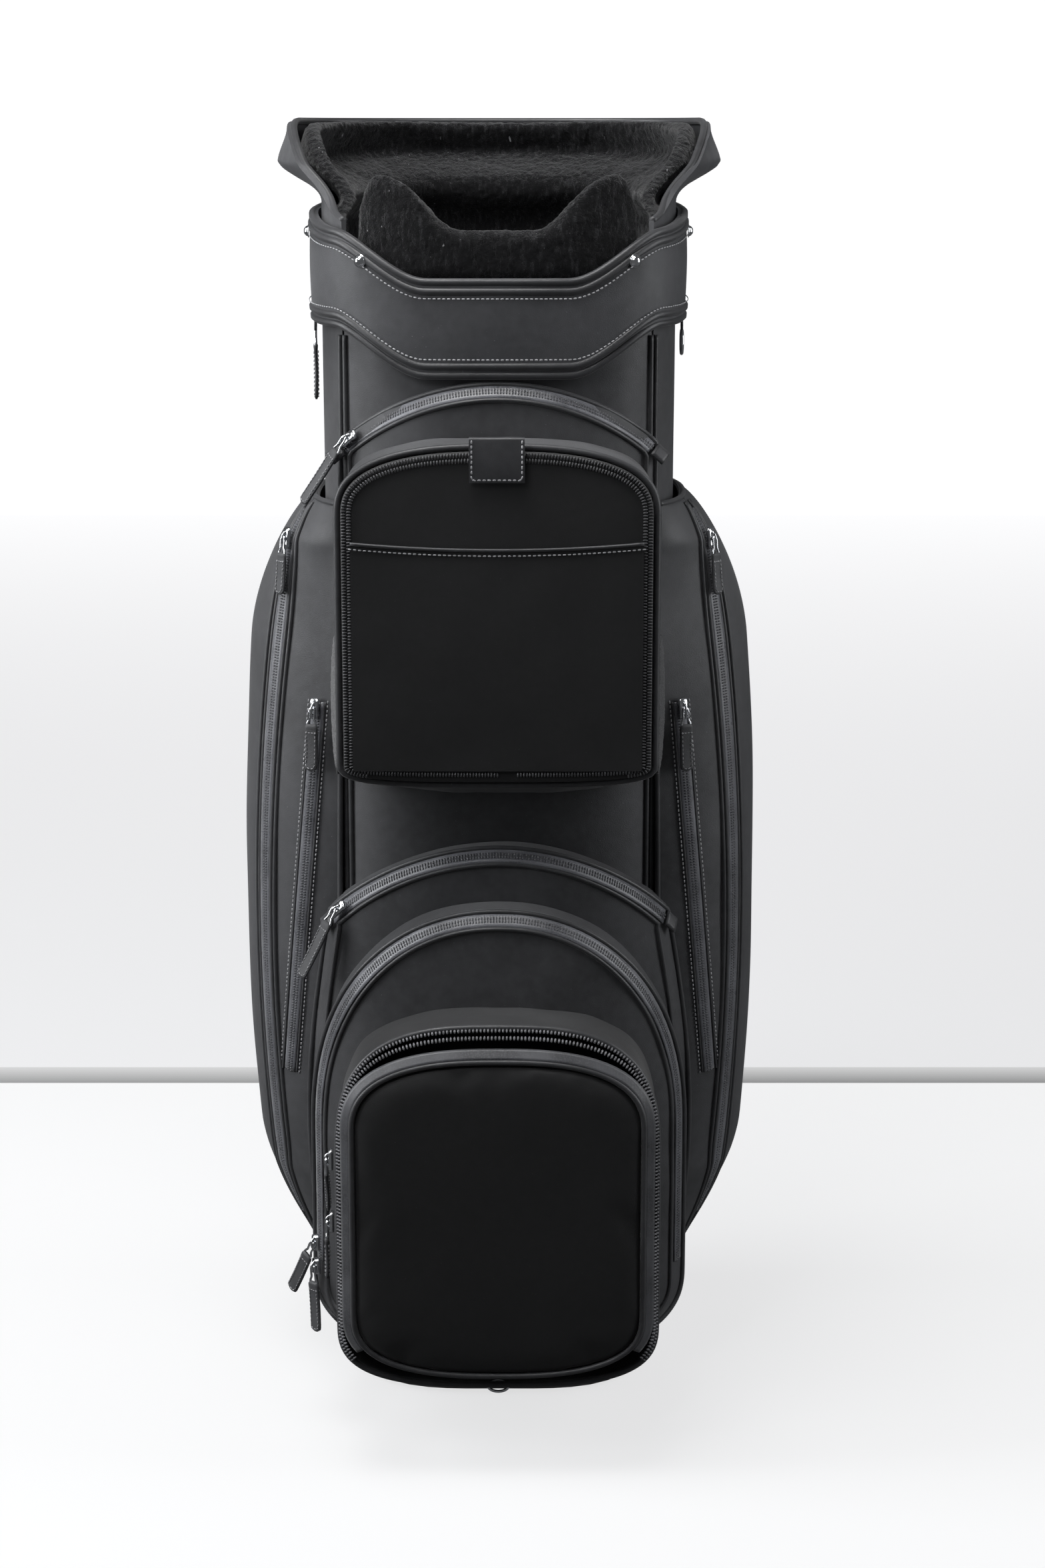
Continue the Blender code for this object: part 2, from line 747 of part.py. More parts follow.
def make_side_pockets():
    edge = SEAM_ANGLE + 1.2
    slot = SIDE_ZIP_HALF_SLOT
    for side, word in ((-1.0, "left"), (1.0, "right")):
        side_panel(f"side_pocket_front_{word}", side, edge, SIDE_ZIP_ANGLE - slot, 4)
        side_panel(f"side_pocket_rear_{word}", side, SIDE_ZIP_ANGLE + slot, 180.0 - edge, 8)


# ---- front pockets ------------------------------------------------------------------------------


def make_front_pockets():
    for name, outline, back, front in (
        ("upper_pocket", upper_outline, rim_on_body, upper_front),
        ("lower_pocket_rear", lower_outline, rim_on_body, lower_front),
        ("lower_pocket_middle", middle_outline, rim_on_lower, middle_front),
    ):
        tray(name, outline(0.0), outline(CHAMFER), back, front, LEATHERETTE)


def flat_panel(name, outline, back, thickness, crown, finish):
    """A padded panel: a flat back, a short side wall and a slightly crowned front."""
    centre_z = 0.5 * (min(z for _, z in outline) + max(z for _, z in outline))
    soft = 0.0025

    def ring(share, y, inset=0.0):
        shrink = share - inset
        return [Vector((x * shrink, y, centre_z + (z - centre_z) * shrink)) for x, z in outline]

    rings = [
        ring(1.0, back),
        ring(1.0, back - thickness + soft),
        ring(0.975, back - thickness),
        ring(0.5, back - thickness - crown),
    ]
    mesh = ring_mesh(name, rings, cap_first=True, cap_last=True)
    mesh.shade_smooth()
    mesh.set_sharp_from_angle(angle=math.radians(35.0))
    return add_object(name, mesh, finish)


def open_box(name, outline, back, front, finish, sag=0.0):
    """A gusset with a back wall that follows what is behind it: a box that opens forwards.

    sag is how far its bottom slopes down towards the back.
    """
    half = max(x for x, _ in outline)
    low = min(z for _, z in outline)
    high = max(z for _, z in outline)
    centre_z = 0.5 * (low + high)
    tall = 0.5 * (high - low)

    def ring(share, inset, place, drop=sag):
        points = []
        for x, z in outline:
            across = x * share * (half - inset) / half
            up = centre_z + (z - centre_z) * share * (tall - inset) / tall
            up -= drop * share**2 * smooth_step(low + SAG_REACH, low, z)
            points.append(Vector((across, place(across, up), up)))
        return points

    def rear(x, z):
        return back(x, z) - RIM_GAP

    def floor(x, z):
        return back(x, z) - RIM_GAP - POCKET_WALL

    def mouth(x, z):
        return front

    shares = (0.3, 0.5, 0.7, 0.85, 1.0)
    rings = [ring(share, 0.0, rear) for share in shares]
    rings += [ring(1.0, 0.0, mouth, 0.0), ring(1.0, POCKET_WALL, mouth, 0.0)]
    rings += [ring(share, POCKET_WALL, floor) for share in reversed(shares)]
    mesh = ring_mesh(name, rings, cap_first=True, cap_last=True)
    mesh.shade_smooth()
    mesh.set_sharp_from_angle(angle=math.radians(35.0))
    return add_object(name, mesh, finish)


def make_cooler():
    outline = cooler_outline(0.0)
    mouth = COOLER_FRONT + GAP
    open_box("cooler_gusset", outline, upper_front, mouth, LEATHERETTE, COOLER_SAG)
    door_line = cooler_outline(0.002)
    flat_panel("cooler_door", door_line, COOLER_FRONT, COOLER_DOOR_THICKNESS, 0.001, LEATHERETTE)
    back = COOLER_FRONT - COOLER_DOOR_THICKNESS - 0.001 - GAP
    low = COOLER_LOW + 0.012
    half = COOLER_HALF_WIDTH - 0.010
    size = (2.0 * half, 0.0022, SLIP_TOP - low)
    middle = Vector((0.0, back - size[1] / 2.0, 0.5 * (low + SLIP_TOP)))
    bevelled_box("cooler_slip_pocket", size, 0.0008, LEATHERETTE, Matrix.Translation(middle))
    tab = Vector((0.0, COOLER_FRONT - COOLER_DOOR_THICKNESS - 0.0042, COOLER_HIGH - 0.009))
    bevelled_box("cooler_top_tab", (0.038, 0.005, 0.030), 0.001, LEATHERETTE, Matrix.Translation(tab))
    for side, word in ((-1.0, "left"), (1.0, "right")):
        place = Vector((side * (COOLER_HALF_WIDTH + 0.0014), -0.165, 0.553))
        box = bevelled_box(f"hook_patch_{word}", (0.0018, 0.040, 0.092), 0.0004, HOOK_LOOP)
        box.matrix_world = Matrix.Translation(place)


def make_ball_pocket():
    outline = ball_outline(0.0)
    open_box("ball_gusset", outline, middle_front, BALL_FRONT + GAP, LEATHERETTE)
    line = round_outline(
        BALL_DOOR_HALF_WIDTH, BALL_DOOR_LOW, 0.125, 0.262, BALL_DOOR_HIGH, 2.6, 2.6
    )
    flat_panel("ball_door", line, BALL_FRONT, BALL_DOOR_THICKNESS, 0.003, LEATHERETTE)


# ---- zips ---------------------------------------------------------------------------------------


def arc_track(apex, radius, half_width, front):
    """Rest, middle and far points and the outward direction of an arched zip on its chamfer."""
    middle_radius = radius - CHAMFER / 2.0
    centre = apex - radius
    end = math.asin(half_width / radius) * 0.93
    points = []
    for turn in (-end, 0.0, end):
        x = middle_radius * math.sin(turn)
        z = centre + middle_radius * math.cos(turn)
        share = (radius - CHAMFER) / middle_radius
        y = front(x * share, centre + (z - centre) * share) + CHAMFER / 2.0
        points.append(Vector((x, y, z)))
    out = Vector((-math.sin(end), -1.0, math.cos(end))).normalized()
    return points, out


def slant_track(side):
    """Points on the side pocket's front face, from the top of the slanted zip to its bottom."""
    points = []
    for x, z in ((0.1335, 0.533), (0.1475, 0.390), (0.1600, 0.250)):
        points.append(Vector((side * x, body_front(x, z), z)))
    return points


def side_track(side):
    return [Vector((side * p.x, p.y, p.z)) for p in SIDE_ZIP_POINTS]


def surface_out(side, x, z):
    """Outward direction of the side pocket's face at this place."""
    step = 0.002
    here = Vector((x, body_front(x, z), z))
    over = Vector((x + step, body_front(x + step, z), z))
    above = Vector((x, body_front(x, z + step), z + step))
    out = (over - here).cross(above - here).normalized()
    return Vector((side * out.x, out.y, out.z))


def side_out(side):
    """Outward direction of the side pocket at the middle of its long zip."""
    z = SIDE_ZIP_HEIGHTS[1]
    step = 1.0
    ahead = polar(SIDE_ZIP_ANGLE + step, side_radius(SIDE_ZIP_ANGLE + step, z), z)
    behind = polar(SIDE_ZIP_ANGLE - step, side_radius(SIDE_ZIP_ANGLE - step, z), z)
    out = (ahead - behind).cross(Vector((0.0, 0.0, 1.0))).normalized()
    return Vector((side * out.x, out.y, out.z))


def leg_out(side):
    return Vector((side, -1.0, 0.0)).normalized()


def zips():
    """Each zip's name, rest point, travel direction, outward direction, pull length and swing.

    swing turns the pull in the zip's plane, in degrees.
    """
    found = []
    for name, apex, radius, half, front, swing in (
        ("upper", UPPER_APEX, UPPER_RADIUS, UPPER_HALF_WIDTH, upper_front, -27.0),
        ("lower", LOWER_APEX, LOWER_RADIUS, LOWER_HALF_WIDTH, lower_front, -17.0),
    ):
        points, out = arc_track(apex, radius, half, front)
        centre, axis, _ = circle_through(*points)
        along = axis.cross(points[0] - centre).normalized()
        found.append((name, points[0], along, out, 0.058, swing))
    leg_x = 0.137 - CHAMFER / 2.0
    leg_y = middle_front(leg_x - CHAMFER / 2.0, 0.2) + CHAMFER / 2.0
    up = Vector((0.0, 0.0, 1.0))
    found.append(("middle_a", Vector((-leg_x, leg_y, 0.1450)), up, leg_out(-1.0), 0.050, -30.0))
    found.append(("middle_b", Vector((-leg_x, leg_y, 0.1265)), -up, leg_out(-1.0), 0.050, 3.0))
    ball_x = BALL_HALF_WIDTH
    ball_out = Vector((-1.0, 0.0, 0.0))
    ball_y = BALL_FRONT + 0.012
    found.append(("ball_a", Vector((-ball_x, ball_y, 0.234)), -up, ball_out, 0.050, -26.0))
    found.append(("ball_b", Vector((-ball_x, ball_y, 0.187)), -up, ball_out, 0.042, 4.0))
    for side, word in ((-1.0, "left"), (1.0, "right")):
        points = slant_track(side)
        along = (points[1] - points[0]).normalized()
        out = surface_out(side, abs(points[0].x), points[0].z)
        found.append((f"slant_{word}", points[0], along, out, 0.046, 0.0))
        points = side_track(side)
        along = (points[1] - points[0]).normalized()
        found.append((f"side_{word}", points[0], along, side_out(side), 0.042, 0.0))
    return found


def pull_frames(point, along, out, swing):
    """The slider's frame and the pull's: the pull hangs down the face that the zip lies on."""
    out = (out - out.dot(along) * along).normalized()
    seat = point + out * (SLIDER_HOVER + SLIDER_HEIGHT / 2.0)
    slider = frame_at(seat, along.cross(out), along, out)
    down = Vector((0.0, 0.0, -1.0))
    hang = (down - down.dot(out) * out).normalized()
    hang = Matrix.Rotation(math.radians(swing), 3, out) @ hang
    hinge = seat + out * (SLIDER_HEIGHT / 2.0 + PULL_HEIGHT)
    pull = frame_at(hinge, hang.cross(out), hang, out)
    return slider, pull


def make_pull(name, frame, length):
    """A narrow bail and a wider leather strip with a rounded end, hinged at the frame's X axis."""
    start = 0.0008
    half_bail = BAIL_WIDTH / 2.0
    half = STRIP_WIDTH / 2.0
    corner = 0.003
    right = [
        (half_bail, start),
        (half_bail, BAIL_LENGTH),
        (half, BAIL_LENGTH + corner),
        (half, length - corner),
        (half - corner, length),
    ]
    outline = right + [(-x, y) for x, y in reversed(right)]
    curve = bpy.data.curves.new(name, "CURVE")
    curve.dimensions = "2D"
    curve.fill_mode = "BOTH"
    curve.extrude = PULL_THICKNESS / 2.0
    spline = curve.splines.new("POLY")
    spline.points.add(len(outline) - 1)
    for place, (x, y) in zip(spline.points, outline):
        place.co = (x, y, 0.0, 1.0)
    spline.use_cyclic_u = True
    piece = bpy.data.objects.new(name, curve)
    PARTS.objects.link(piece)
    curve.materials.append(material(LEATHERETTE, name))
    piece.matrix_world = frame


def make_zips():
    for name, point, along, out, length, swing in zips():
        slider, pull = pull_frames(point, along, out, swing)
        long = 0.013 if name.startswith("middle") else 0.016
        size = (SLIDER_WIDTH, long, SLIDER_HEIGHT)
        bevelled_box(f"zip_slider_{name}", size, 0.0009, CHROME, slider)
        make_pull(f"zip_pull_{name}", pull, length)


# ---- handle and hanging rings -------------------------------------------------------------------


def make_handle():
    """A padded grab loop down the back, its two ends against the trunk's rear panel."""
    curve = bpy.data.curves.new("rear_handle", "CURVE")
    curve.dimensions = "3D"
    curve.bevel_depth = 0.010
    curve.bevel_resolution = 2
    curve.use_fill_caps = True
    start = TRUNK_HALF_DEPTH + 0.0012
    reach = 0.045
    points = (
        (start, 0.700),
        (start + 0.018, 0.698),
        (start + reach - 0.010, 0.688),
        (start + reach, 0.665),
        (start + reach, 0.575),
        (start + reach - 0.010, 0.552),
        (start + 0.018, 0.542),
        (start, 0.540),
    )
    spline = curve.splines.new("POLY")
    spline.points.add(len(points) - 1)
    for place, (y, z) in zip(spline.points, points):
        place.co = (0.0, y, z, 1.0)
    piece = bpy.data.objects.new("rear_handle", curve)
    PARTS.objects.link(piece)
    curve.materials.append(material(LEATHERETTE, "rear_handle"))


def make_hangers():
    """A leather pull on the left and a ring on the right, hung below the collar's edge."""
    x = trunk_radius(-80.0) * math.sin(math.radians(80.0)) + 0.005
    y = -trunk_radius(80.0) * math.cos(math.radians(80.0))
    out = Vector((-1.0, 0.0, 0.0))
    down = Vector((0.0, 0.0, -1.0))
    top = 0.8065
    frame = frame_at(Vector((-x, y, top)), down.cross(out), down, out)
    make_pull("collar_pull_left", frame, 0.052)
    mesh = bpy.data.meshes.new("collar_ring_right")
    rings = []
    for i in range(16):
        turn = 2.0 * math.pi * i / 16
        ring = []
        for j in range(6):
            roll = 2.0 * math.pi * j / 6
            reach = 0.0085 + 0.0013 * math.cos(roll)
            ring.append(
                Vector((
                    x + 0.0013 * math.sin(roll),
                    y + reach * math.sin(turn),
                    top - 0.0100 + reach * math.cos(turn),
                ))
            )
        rings.append(ring)
    mesh = ring_mesh("collar_ring_right", rings, wrap_rings=True)
    mesh.shade_smooth()
    add_object("collar_ring_right", mesh, CHROME)


make_trunk()
make_base()
make_divider_frame()
make_dividers()
make_rods()
make_collar()
make_mouth()
make_studs()
make_side_pockets()
make_front_pockets()
make_cooler()
make_ball_pocket()
make_zips()
make_handle()
make_hangers()
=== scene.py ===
"""Looks for the golf staff bag: leatherette, fleece, zips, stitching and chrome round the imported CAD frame."""

import math

import bmesh
import bpy
from mathutils import Matrix, Vector, noise


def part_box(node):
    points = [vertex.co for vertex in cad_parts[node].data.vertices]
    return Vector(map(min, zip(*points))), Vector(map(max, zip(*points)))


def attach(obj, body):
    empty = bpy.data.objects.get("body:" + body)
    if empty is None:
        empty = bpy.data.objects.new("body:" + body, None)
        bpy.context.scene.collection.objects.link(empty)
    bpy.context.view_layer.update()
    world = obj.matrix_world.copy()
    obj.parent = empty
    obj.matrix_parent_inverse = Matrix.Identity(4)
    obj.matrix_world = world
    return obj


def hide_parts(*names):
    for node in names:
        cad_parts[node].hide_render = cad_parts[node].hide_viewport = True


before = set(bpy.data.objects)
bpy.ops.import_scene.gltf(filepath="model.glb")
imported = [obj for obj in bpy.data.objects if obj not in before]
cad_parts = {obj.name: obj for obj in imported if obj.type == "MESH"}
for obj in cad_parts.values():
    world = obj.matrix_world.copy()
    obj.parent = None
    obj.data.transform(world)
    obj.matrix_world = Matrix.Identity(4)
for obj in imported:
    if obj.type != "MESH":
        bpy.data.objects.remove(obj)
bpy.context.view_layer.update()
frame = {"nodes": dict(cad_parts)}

# ---- shape of the bag, in metres, as in the CAD -------------------------------------------------

HALF_WIDTH = 0.130
HALF_DEPTH = 0.120
SQUARENESS = 3.0
SEAM = 51.5
BASE_TAPER = 0.015
TAPER_TOP = 0.085
SIDE_BASE = 0.0045
SIDE_BULGE = 0.0615
SIDE_LOW = 0.085
SIDE_HIGH = 0.686
SIDE_MIDDLE = 0.3825
SIDE_BOW = 2.6
SIDE_CLOSING = 0.11
ZIP_ANGLE = 72.0
ZIP_HEIGHTS = (0.655, 0.420, 0.170)
CHAMFER = 0.010
FRAME_TOP = 0.8428
COOLER_FRONT = -0.190
BALL_FRONT = -0.235
ARCH_RADIUS = 0.168
UPPER_APEX = 0.774
UPPER_HALF = 0.113
UPPER_LEG = 0.103
UPPER_FRONT = -0.134
LOWER_APEX = 0.442
LOWER_CENTRE = 0.274
LOWER_HALF = 0.125
LOWER_FRONT = -0.150
MIDDLE_FRONT = -0.190
SEWN = 0.0015
BEHIND_BODY = -0.076
SLANT_ZIP_TOP = 0.1335
UP = Vector((0.0, 0.0, 1.0))
FORWARD = Vector((0.0, -1.0, 0.0))


def smooth_step(low, high, value):
    """0 below low, 1 above high, and an eased rise between them."""
    share = min(max((value - low) / (high - low), 0.0), 1.0)
    return share * share * (3.0 - 2.0 * share)


def spread(start, length, count):
    """Evenly spaced numbers from start to start + length."""
    return [start + length * k / count for k in range(count + 1)]


def turns(count):
    """Evenly spaced angles round one turn, in radians."""
    return [2.0 * math.pi * k / count for k in range(count)]


def blunt(value, power):
    """A power that keeps the sign: it squares off a sine or a cosine."""
    return math.copysign(abs(value) ** power, value)


def trunk_radius(angle):
    """The trunk's rounded-square section. Angles are in degrees from the front."""
    across = abs(math.sin(math.radians(angle))) / HALF_WIDTH
    along = abs(math.cos(math.radians(angle))) / HALF_DEPTH
    return (across**SQUARENESS + along**SQUARENESS) ** (-1.0 / SQUARENESS)


def polar(angle, radius, z):
    turn = math.radians(angle)
    return Vector((radius * math.sin(turn), -radius * math.cos(turn), z))


def taper(z):
    """How far the trunk draws in above its base."""
    return BASE_TAPER * (1.0 - smooth_step(0.0, TAPER_TOP, z))


def trunk_point(angle, offset, z):
    return polar(angle, trunk_radius(angle) + offset - taper(z), z)


def circle_through(first, middle, last):
    """Centre, axis and radius of the circle through three points."""
    a = middle - first
    b = last - first
    n = a.cross(b)
    centre = first + (b.length_squared * n.cross(a) - a.length_squared * n.cross(b)) / (
        2.0 * n.length_squared
    )
    return centre, n.normalized(), (first - centre).length


def side_profile(z):
    """How far a side pocket stands out at its fullest, at this height."""
    if not SIDE_LOW < z < SIDE_HIGH:
        return 0.0
    bow = SIDE_BOW - math.sqrt(SIDE_BOW**2 - (z - SIDE_MIDDLE) ** 2)
    above = min((SIDE_HIGH - z) / SIDE_CLOSING, 1.0)
    below = min((z - SIDE_LOW) / SIDE_CLOSING, 1.0)
    top = math.sin(0.5 * math.pi * above) ** 0.6
    return (SIDE_BULGE - bow) * top * math.sin(0.5 * math.pi * below)


def side_share(angle):
    return (angle - SEAM) / (180.0 - 2.0 * SEAM)


ZIP_SHARE = math.sin(math.pi * side_share(ZIP_ANGLE))
ZIP_POINTS = [
    polar(ZIP_ANGLE, trunk_radius(ZIP_ANGLE) + SIDE_BASE + side_profile(z) * ZIP_SHARE, z)
    for z in ZIP_HEIGHTS
]
ZIP_CENTRE, _, ZIP_RADIUS = circle_through(*ZIP_POINTS)


def side_radius(angle, z):
    """Radius of the trunk with its side pockets. The long zip stays on its fitted circle."""
    angle = abs(angle)
    share = side_share(angle)
    if share <= 0.0 or share >= 1.0 or not SIDE_LOW < z < SIDE_HIGH:
        return trunk_radius(angle) - taper(z)
    height = side_profile(z)
    power = 1.0
    if ZIP_HEIGHTS[2] < z < ZIP_HEIGHTS[0]:
        reach = math.hypot(ZIP_CENTRE.x, ZIP_CENTRE.y)
        rise = math.sqrt(ZIP_RADIUS**2 - (z - ZIP_CENTRE.z) ** 2)
        wanted = rise - reach - trunk_radius(ZIP_ANGLE) - SIDE_BASE
        power = math.log(wanted / height) / math.log(ZIP_SHARE)
    return trunk_radius(angle) + SIDE_BASE + height * math.sin(math.pi * share) ** power


def body_front(x, z):
    """Where the trunk or side pocket is, looking straight back from the front."""
    low, high = 0.0, 80.0
    for _ in range(24):
        middle = 0.5 * (low + high)
        if side_radius(middle, z) * math.sin(math.radians(middle)) < abs(x):
            low = middle
        else:
            high = middle
    return -side_radius(low, z) * math.cos(math.radians(low))


def rim_on_body(x, z):
    return min(body_front(max(abs(x) - 0.00375, 0.0), z) - SEWN, BEHIND_BODY)


UPPER_EDGE = body_front(UPPER_LEG, UPPER_APEX) - 0.009


def upper_front(x, z):
    return UPPER_FRONT + (UPPER_EDGE - UPPER_FRONT) * min(abs(x) / UPPER_LEG, 1.0) ** 3


def lower_front(x, z):
    return LOWER_FRONT + 0.040 * min(abs(x) / 0.133, 1.0) ** 3


def rim_on_lower(x, z):
    return lower_front(max(abs(x) - 0.005, 0.0), z) - SEWN


def middle_front(x, z):
    return MIDDLE_FRONT + 0.030 * (abs(x) / 0.128) ** 4


def rim_on_upper(x, z):
    return upper_front(x, z) - SEWN


def rim_on_middle(x, z):
    return middle_front(x, z) - SEWN


def mirrored(right):
    """The right half of an outline with its left half added."""
    return right + [(-x, z) for x, z in reversed(right) if x > 1e-9]


def arch(half_width, apex, radius, leg, inset):
    """A round-topped pocket outline."""
    centre = apex - radius
    right = [(leg[0][0] * step / 14, leg[0][1] + inset) for step in range(14)]
    right += [(x - inset, max(z, leg[0][1] + inset)) for x, z in leg]
    end = math.asin(half_width / radius)
    steps = 40
    for step in range(steps + 1):
        turn = end * (1.0 - step / steps)
        reach = radius - inset
        right.append((reach * math.sin(turn), centre + reach * math.cos(turn)))
    right[-1] = (0.0, apex - inset)
    return mirrored(right)


def rounded(half_width, low, leg_low, leg_high, high, low_power, high_power, inset=0.0):
    """A pocket outline with straight sides between soft ends."""
    steps = 30
    right = []
    for step in range(steps + 1):
        turn = 0.5 * math.pi * step / steps
        x = (half_width - inset) * math.sin(turn) ** (2.0 / low_power)
        z = leg_low - (leg_low - low - inset) * max(math.cos(turn), 0.0) ** (2.0 / low_power)
        right.append((x, z))
    for step in range(1, 13):
        share = step / 13
        right.append((half_width - inset, leg_low + (leg_high - leg_low) * share))
    for step in range(steps + 1):
        turn = 0.5 * math.pi * step / steps
        x = (half_width - inset) * max(math.cos(turn), 0.0) ** (2.0 / high_power)
        z = leg_high + (high - inset - leg_high) * math.sin(turn) ** (2.0 / high_power)
        right.append((x, z))
    right[-1] = (0.0, high - inset)
    return mirrored(right)


def upper_outline(inset):
    legs = ((UPPER_LEG, 0.492), (UPPER_HALF, 0.502))
    return arch(UPPER_HALF, UPPER_APEX, ARCH_RADIUS, legs, inset)


def lower_outline(inset):
    top = LOWER_CENTRE + math.sqrt(ARCH_RADIUS**2 - LOWER_HALF**2)
    leg = [(0.104, 0.062), (0.116, 0.066)]
    for step in range(1, 40):
        share = step / 40
        x = LOWER_HALF + 0.018 * math.sin(math.pi * share)
        leg.append((x, 0.062 + (top - 0.062) * share))
    return arch(LOWER_HALF, LOWER_APEX, ARCH_RADIUS, leg, inset)


def middle_outline(inset):
    return rounded(0.137, 0.066, 0.120, 0.230, 0.405, 3.0, 2.2, inset)


def ball_outline(inset):
    return rounded(0.114, 0.066, 0.115, 0.235, 0.337, 3.0, 3.0, inset)


def cooler_outline(inset):
    return rounded(0.111, 0.500, 0.515, 0.690, 0.738, 3.0, 2.6, inset)


def ball_door_outline(inset):
    return rounded(0.107, 0.0746, 0.125, 0.262, 0.3185, 2.6, 2.6, inset)


# ---- materials ----------------------------------------------------------------------------------


class Nodes:
    """A small helper that builds one procedural material."""

    def __init__(self, name):
        self.material = bpy.data.materials.new(name)
        self.material.use_nodes = True
        self.tree = self.material.node_tree
        self.shader = self.tree.nodes["Principled BSDF"]
        coords = self.tree.nodes.new("ShaderNodeTexCoord")
        self.place = coords.outputs["Object"]

    def add(self, kind, **values):
        node = self.tree.nodes.new(kind)
        for key, value in values.items():
            if key in node.inputs:
                node.inputs[key].default_value = value
            else:
                setattr(node, key, value)
        return node

    def link(self, start, end):
        self.tree.links.new(start, end)

    def noise(self, scale, detail=3.0, rough=0.5, stretch=None):
        node = self.add("ShaderNodeTexNoise", Scale=scale, Detail=detail, Roughness=rough)
        self.link(self.stretched(stretch) if stretch else self.place, node.inputs["Vector"])
        return node.outputs["Fac"]

    def stretched(self, stretch):
        node = self.add("ShaderNodeMapping")
        node.inputs["Scale"].default_value = stretch
        self.link(self.place, node.inputs["Vector"])
        return node.outputs["Vector"]

    def cells(self, scale):
        node = self.add("ShaderNodeTexVoronoi", Scale=scale)
        self.link(self.place, node.inputs["Vector"])
        return node.outputs["Distance"]

    def ramp(self, value, *stops):
        node = self.add("ShaderNodeValToRGB")
        elements = node.color_ramp.elements
        while len(elements) < len(stops):
            elements.new(0.5)
        for element, (place, colour) in zip(elements, stops):
            element.position = place
            grey = not hasattr(colour, "__len__")
            element.color = (colour,) * 3 + (1.0,) if grey else (*colour, 1.0)
        self.link(value, node.inputs["Fac"])
        return node.outputs["Color"]

    def mix(self, factor, first, second, blend="MIX"):
        node = self.add("ShaderNodeMix", data_type="RGBA", blend_type=blend)
        self.link(factor, node.inputs["Factor"])
        for socket, value in ((node.inputs[6], first), (node.inputs[7], second)):
            if hasattr(value, "is_output"):
                self.link(value, socket)
            else:
                socket.default_value = (*value, 1.0)
        return node.outputs[2]

    def colour(self, value):
        self.link(value, self.shader.inputs["Base Color"])

    def roughness(self, value, low, high):
        self.link(self.ramp(value, (0.25, low), (0.75, high)), self.shader.inputs["Roughness"])

    def bump(self, *layers):
        """Each layer is (height, distance in metres, strength)."""
        last = None
        for height, distance, strength in layers:
            node = self.add("ShaderNodeBump", Distance=distance, Strength=strength)
            self.link(height, node.inputs["Height"])
            if last:
                self.link(last, node.inputs["Normal"])
            last = node.outputs["Normal"]
        self.link(last, self.shader.inputs["Normal"])

    def set(self, **values):
        for key, value in values.items():
            self.shader.inputs[key.replace("_", " ")].default_value = value
        return self


def leather(name, dark, light, rough=(0.48, 0.66), grain=1.0, haze=0.5):
    """Matt coated leatherette: fine grain, a chalky haze in patches, and scuffed specks."""
    m = Nodes(name)
    patches = m.ramp(m.noise(9.0, 5.0, 0.62), (0.40, 0.0), (0.78, 1.0))
    base = m.mix(patches, dark, tuple(d + (l - d) * haze for d, l in zip(dark, light)))
    mottled = m.mix(m.ramp(m.noise(140.0, 3.0), (0.35, 0.0), (0.8, 1.0)), base, light)
    soft = m.add("ShaderNodeMix", data_type="RGBA")
    soft.inputs["Factor"].default_value = 0.25
    m.link(base, soft.inputs[6])
    m.link(mottled, soft.inputs[7])
    specks = m.ramp(m.noise(760.0, 2.0, 0.6), (0.735, 0.0), (0.775, 1.0))
    m.colour(m.mix(specks, soft.outputs[2], tuple(1.9 * c + 0.01 for c in light)))
    m.roughness(m.noise(26.0, 4.0), *rough)
    pores = m.cells(1500.0)
    m.bump((m.noise(46.0, 3.0), 0.0010, 0.12 * grain), (pores, 0.00022, 0.35 * grain),
           (m.noise(3200.0, 2.0), 0.0001, 0.30 * grain))
    m.set(Sheen_Weight=0.10, Sheen_Roughness=0.5, Specular_IOR_Level=0.42)
    return m.material


def fleece_material():
    """Short black pile with pale lint caught in it."""
    m = Nodes("fleece_pile")
    tufts = m.noise(420.0, 4.0, 0.7)
    # painted shade: the pile is darker where the tufts noise is low, the same noise that gives the bump its
    # hollows
    depth = m.ramp(tufts, (0.3, 0.0), (0.75, 1.0))
    pile = m.mix(depth, (0.0018, 0.0018, 0.0020), (0.011, 0.011, 0.012))
    strands = m.ramp(m.noise(300.0, 4.0, 0.7, (1.0, 1.0, 0.28)), (0.52, 0.0), (0.74, 1.0))
    brushed = m.mix(strands, pile, (0.030, 0.030, 0.032))
    lint = m.ramp(m.noise(330.0, 2.0, 0.55, (1.0, 1.0, 0.40)), (0.735, 0.0), (0.765, 1.0))
    m.colour(m.mix(lint, brushed, (0.30, 0.30, 0.31)))
    m.shader.inputs["Roughness"].default_value = 0.96
    m.bump((tufts, 0.0016, 0.8), (strands, 0.0008, 0.6), (m.noise(1500.0, 2.0), 0.0006, 0.7))
    m.set(Sheen_Weight=0.25, Sheen_Roughness=0.42, Specular_IOR_Level=0.10)
    return m.material


def tape_material(name, dark, light, rough=(0.30, 0.44)):
    """Satin zip tape with a fine woven rib."""
    m = Nodes(name)
    rib = m.add("ShaderNodeTexWave", Scale=520.0, Distortion=0.6)
    m.link(m.place, rib.inputs["Vector"])
    cloudy = m.mix(m.ramp(m.noise(38.0, 3.0), (0.35, 0.0), (0.7, 1.0)), dark, light)
    m.colour(m.mix(m.ramp(m.noise(900.0, 2.0), (0.45, 0.0), (0.75, 1.0)), cloudy, light))
    m.roughness(m.noise(60.0, 3.0), *rough)
    m.bump((rib.outputs["Fac"], 0.00012, 0.35), (m.noise(240.0, 2.0), 0.0004, 0.15))
    m.set(Sheen_Weight=0.2)
    return m.material


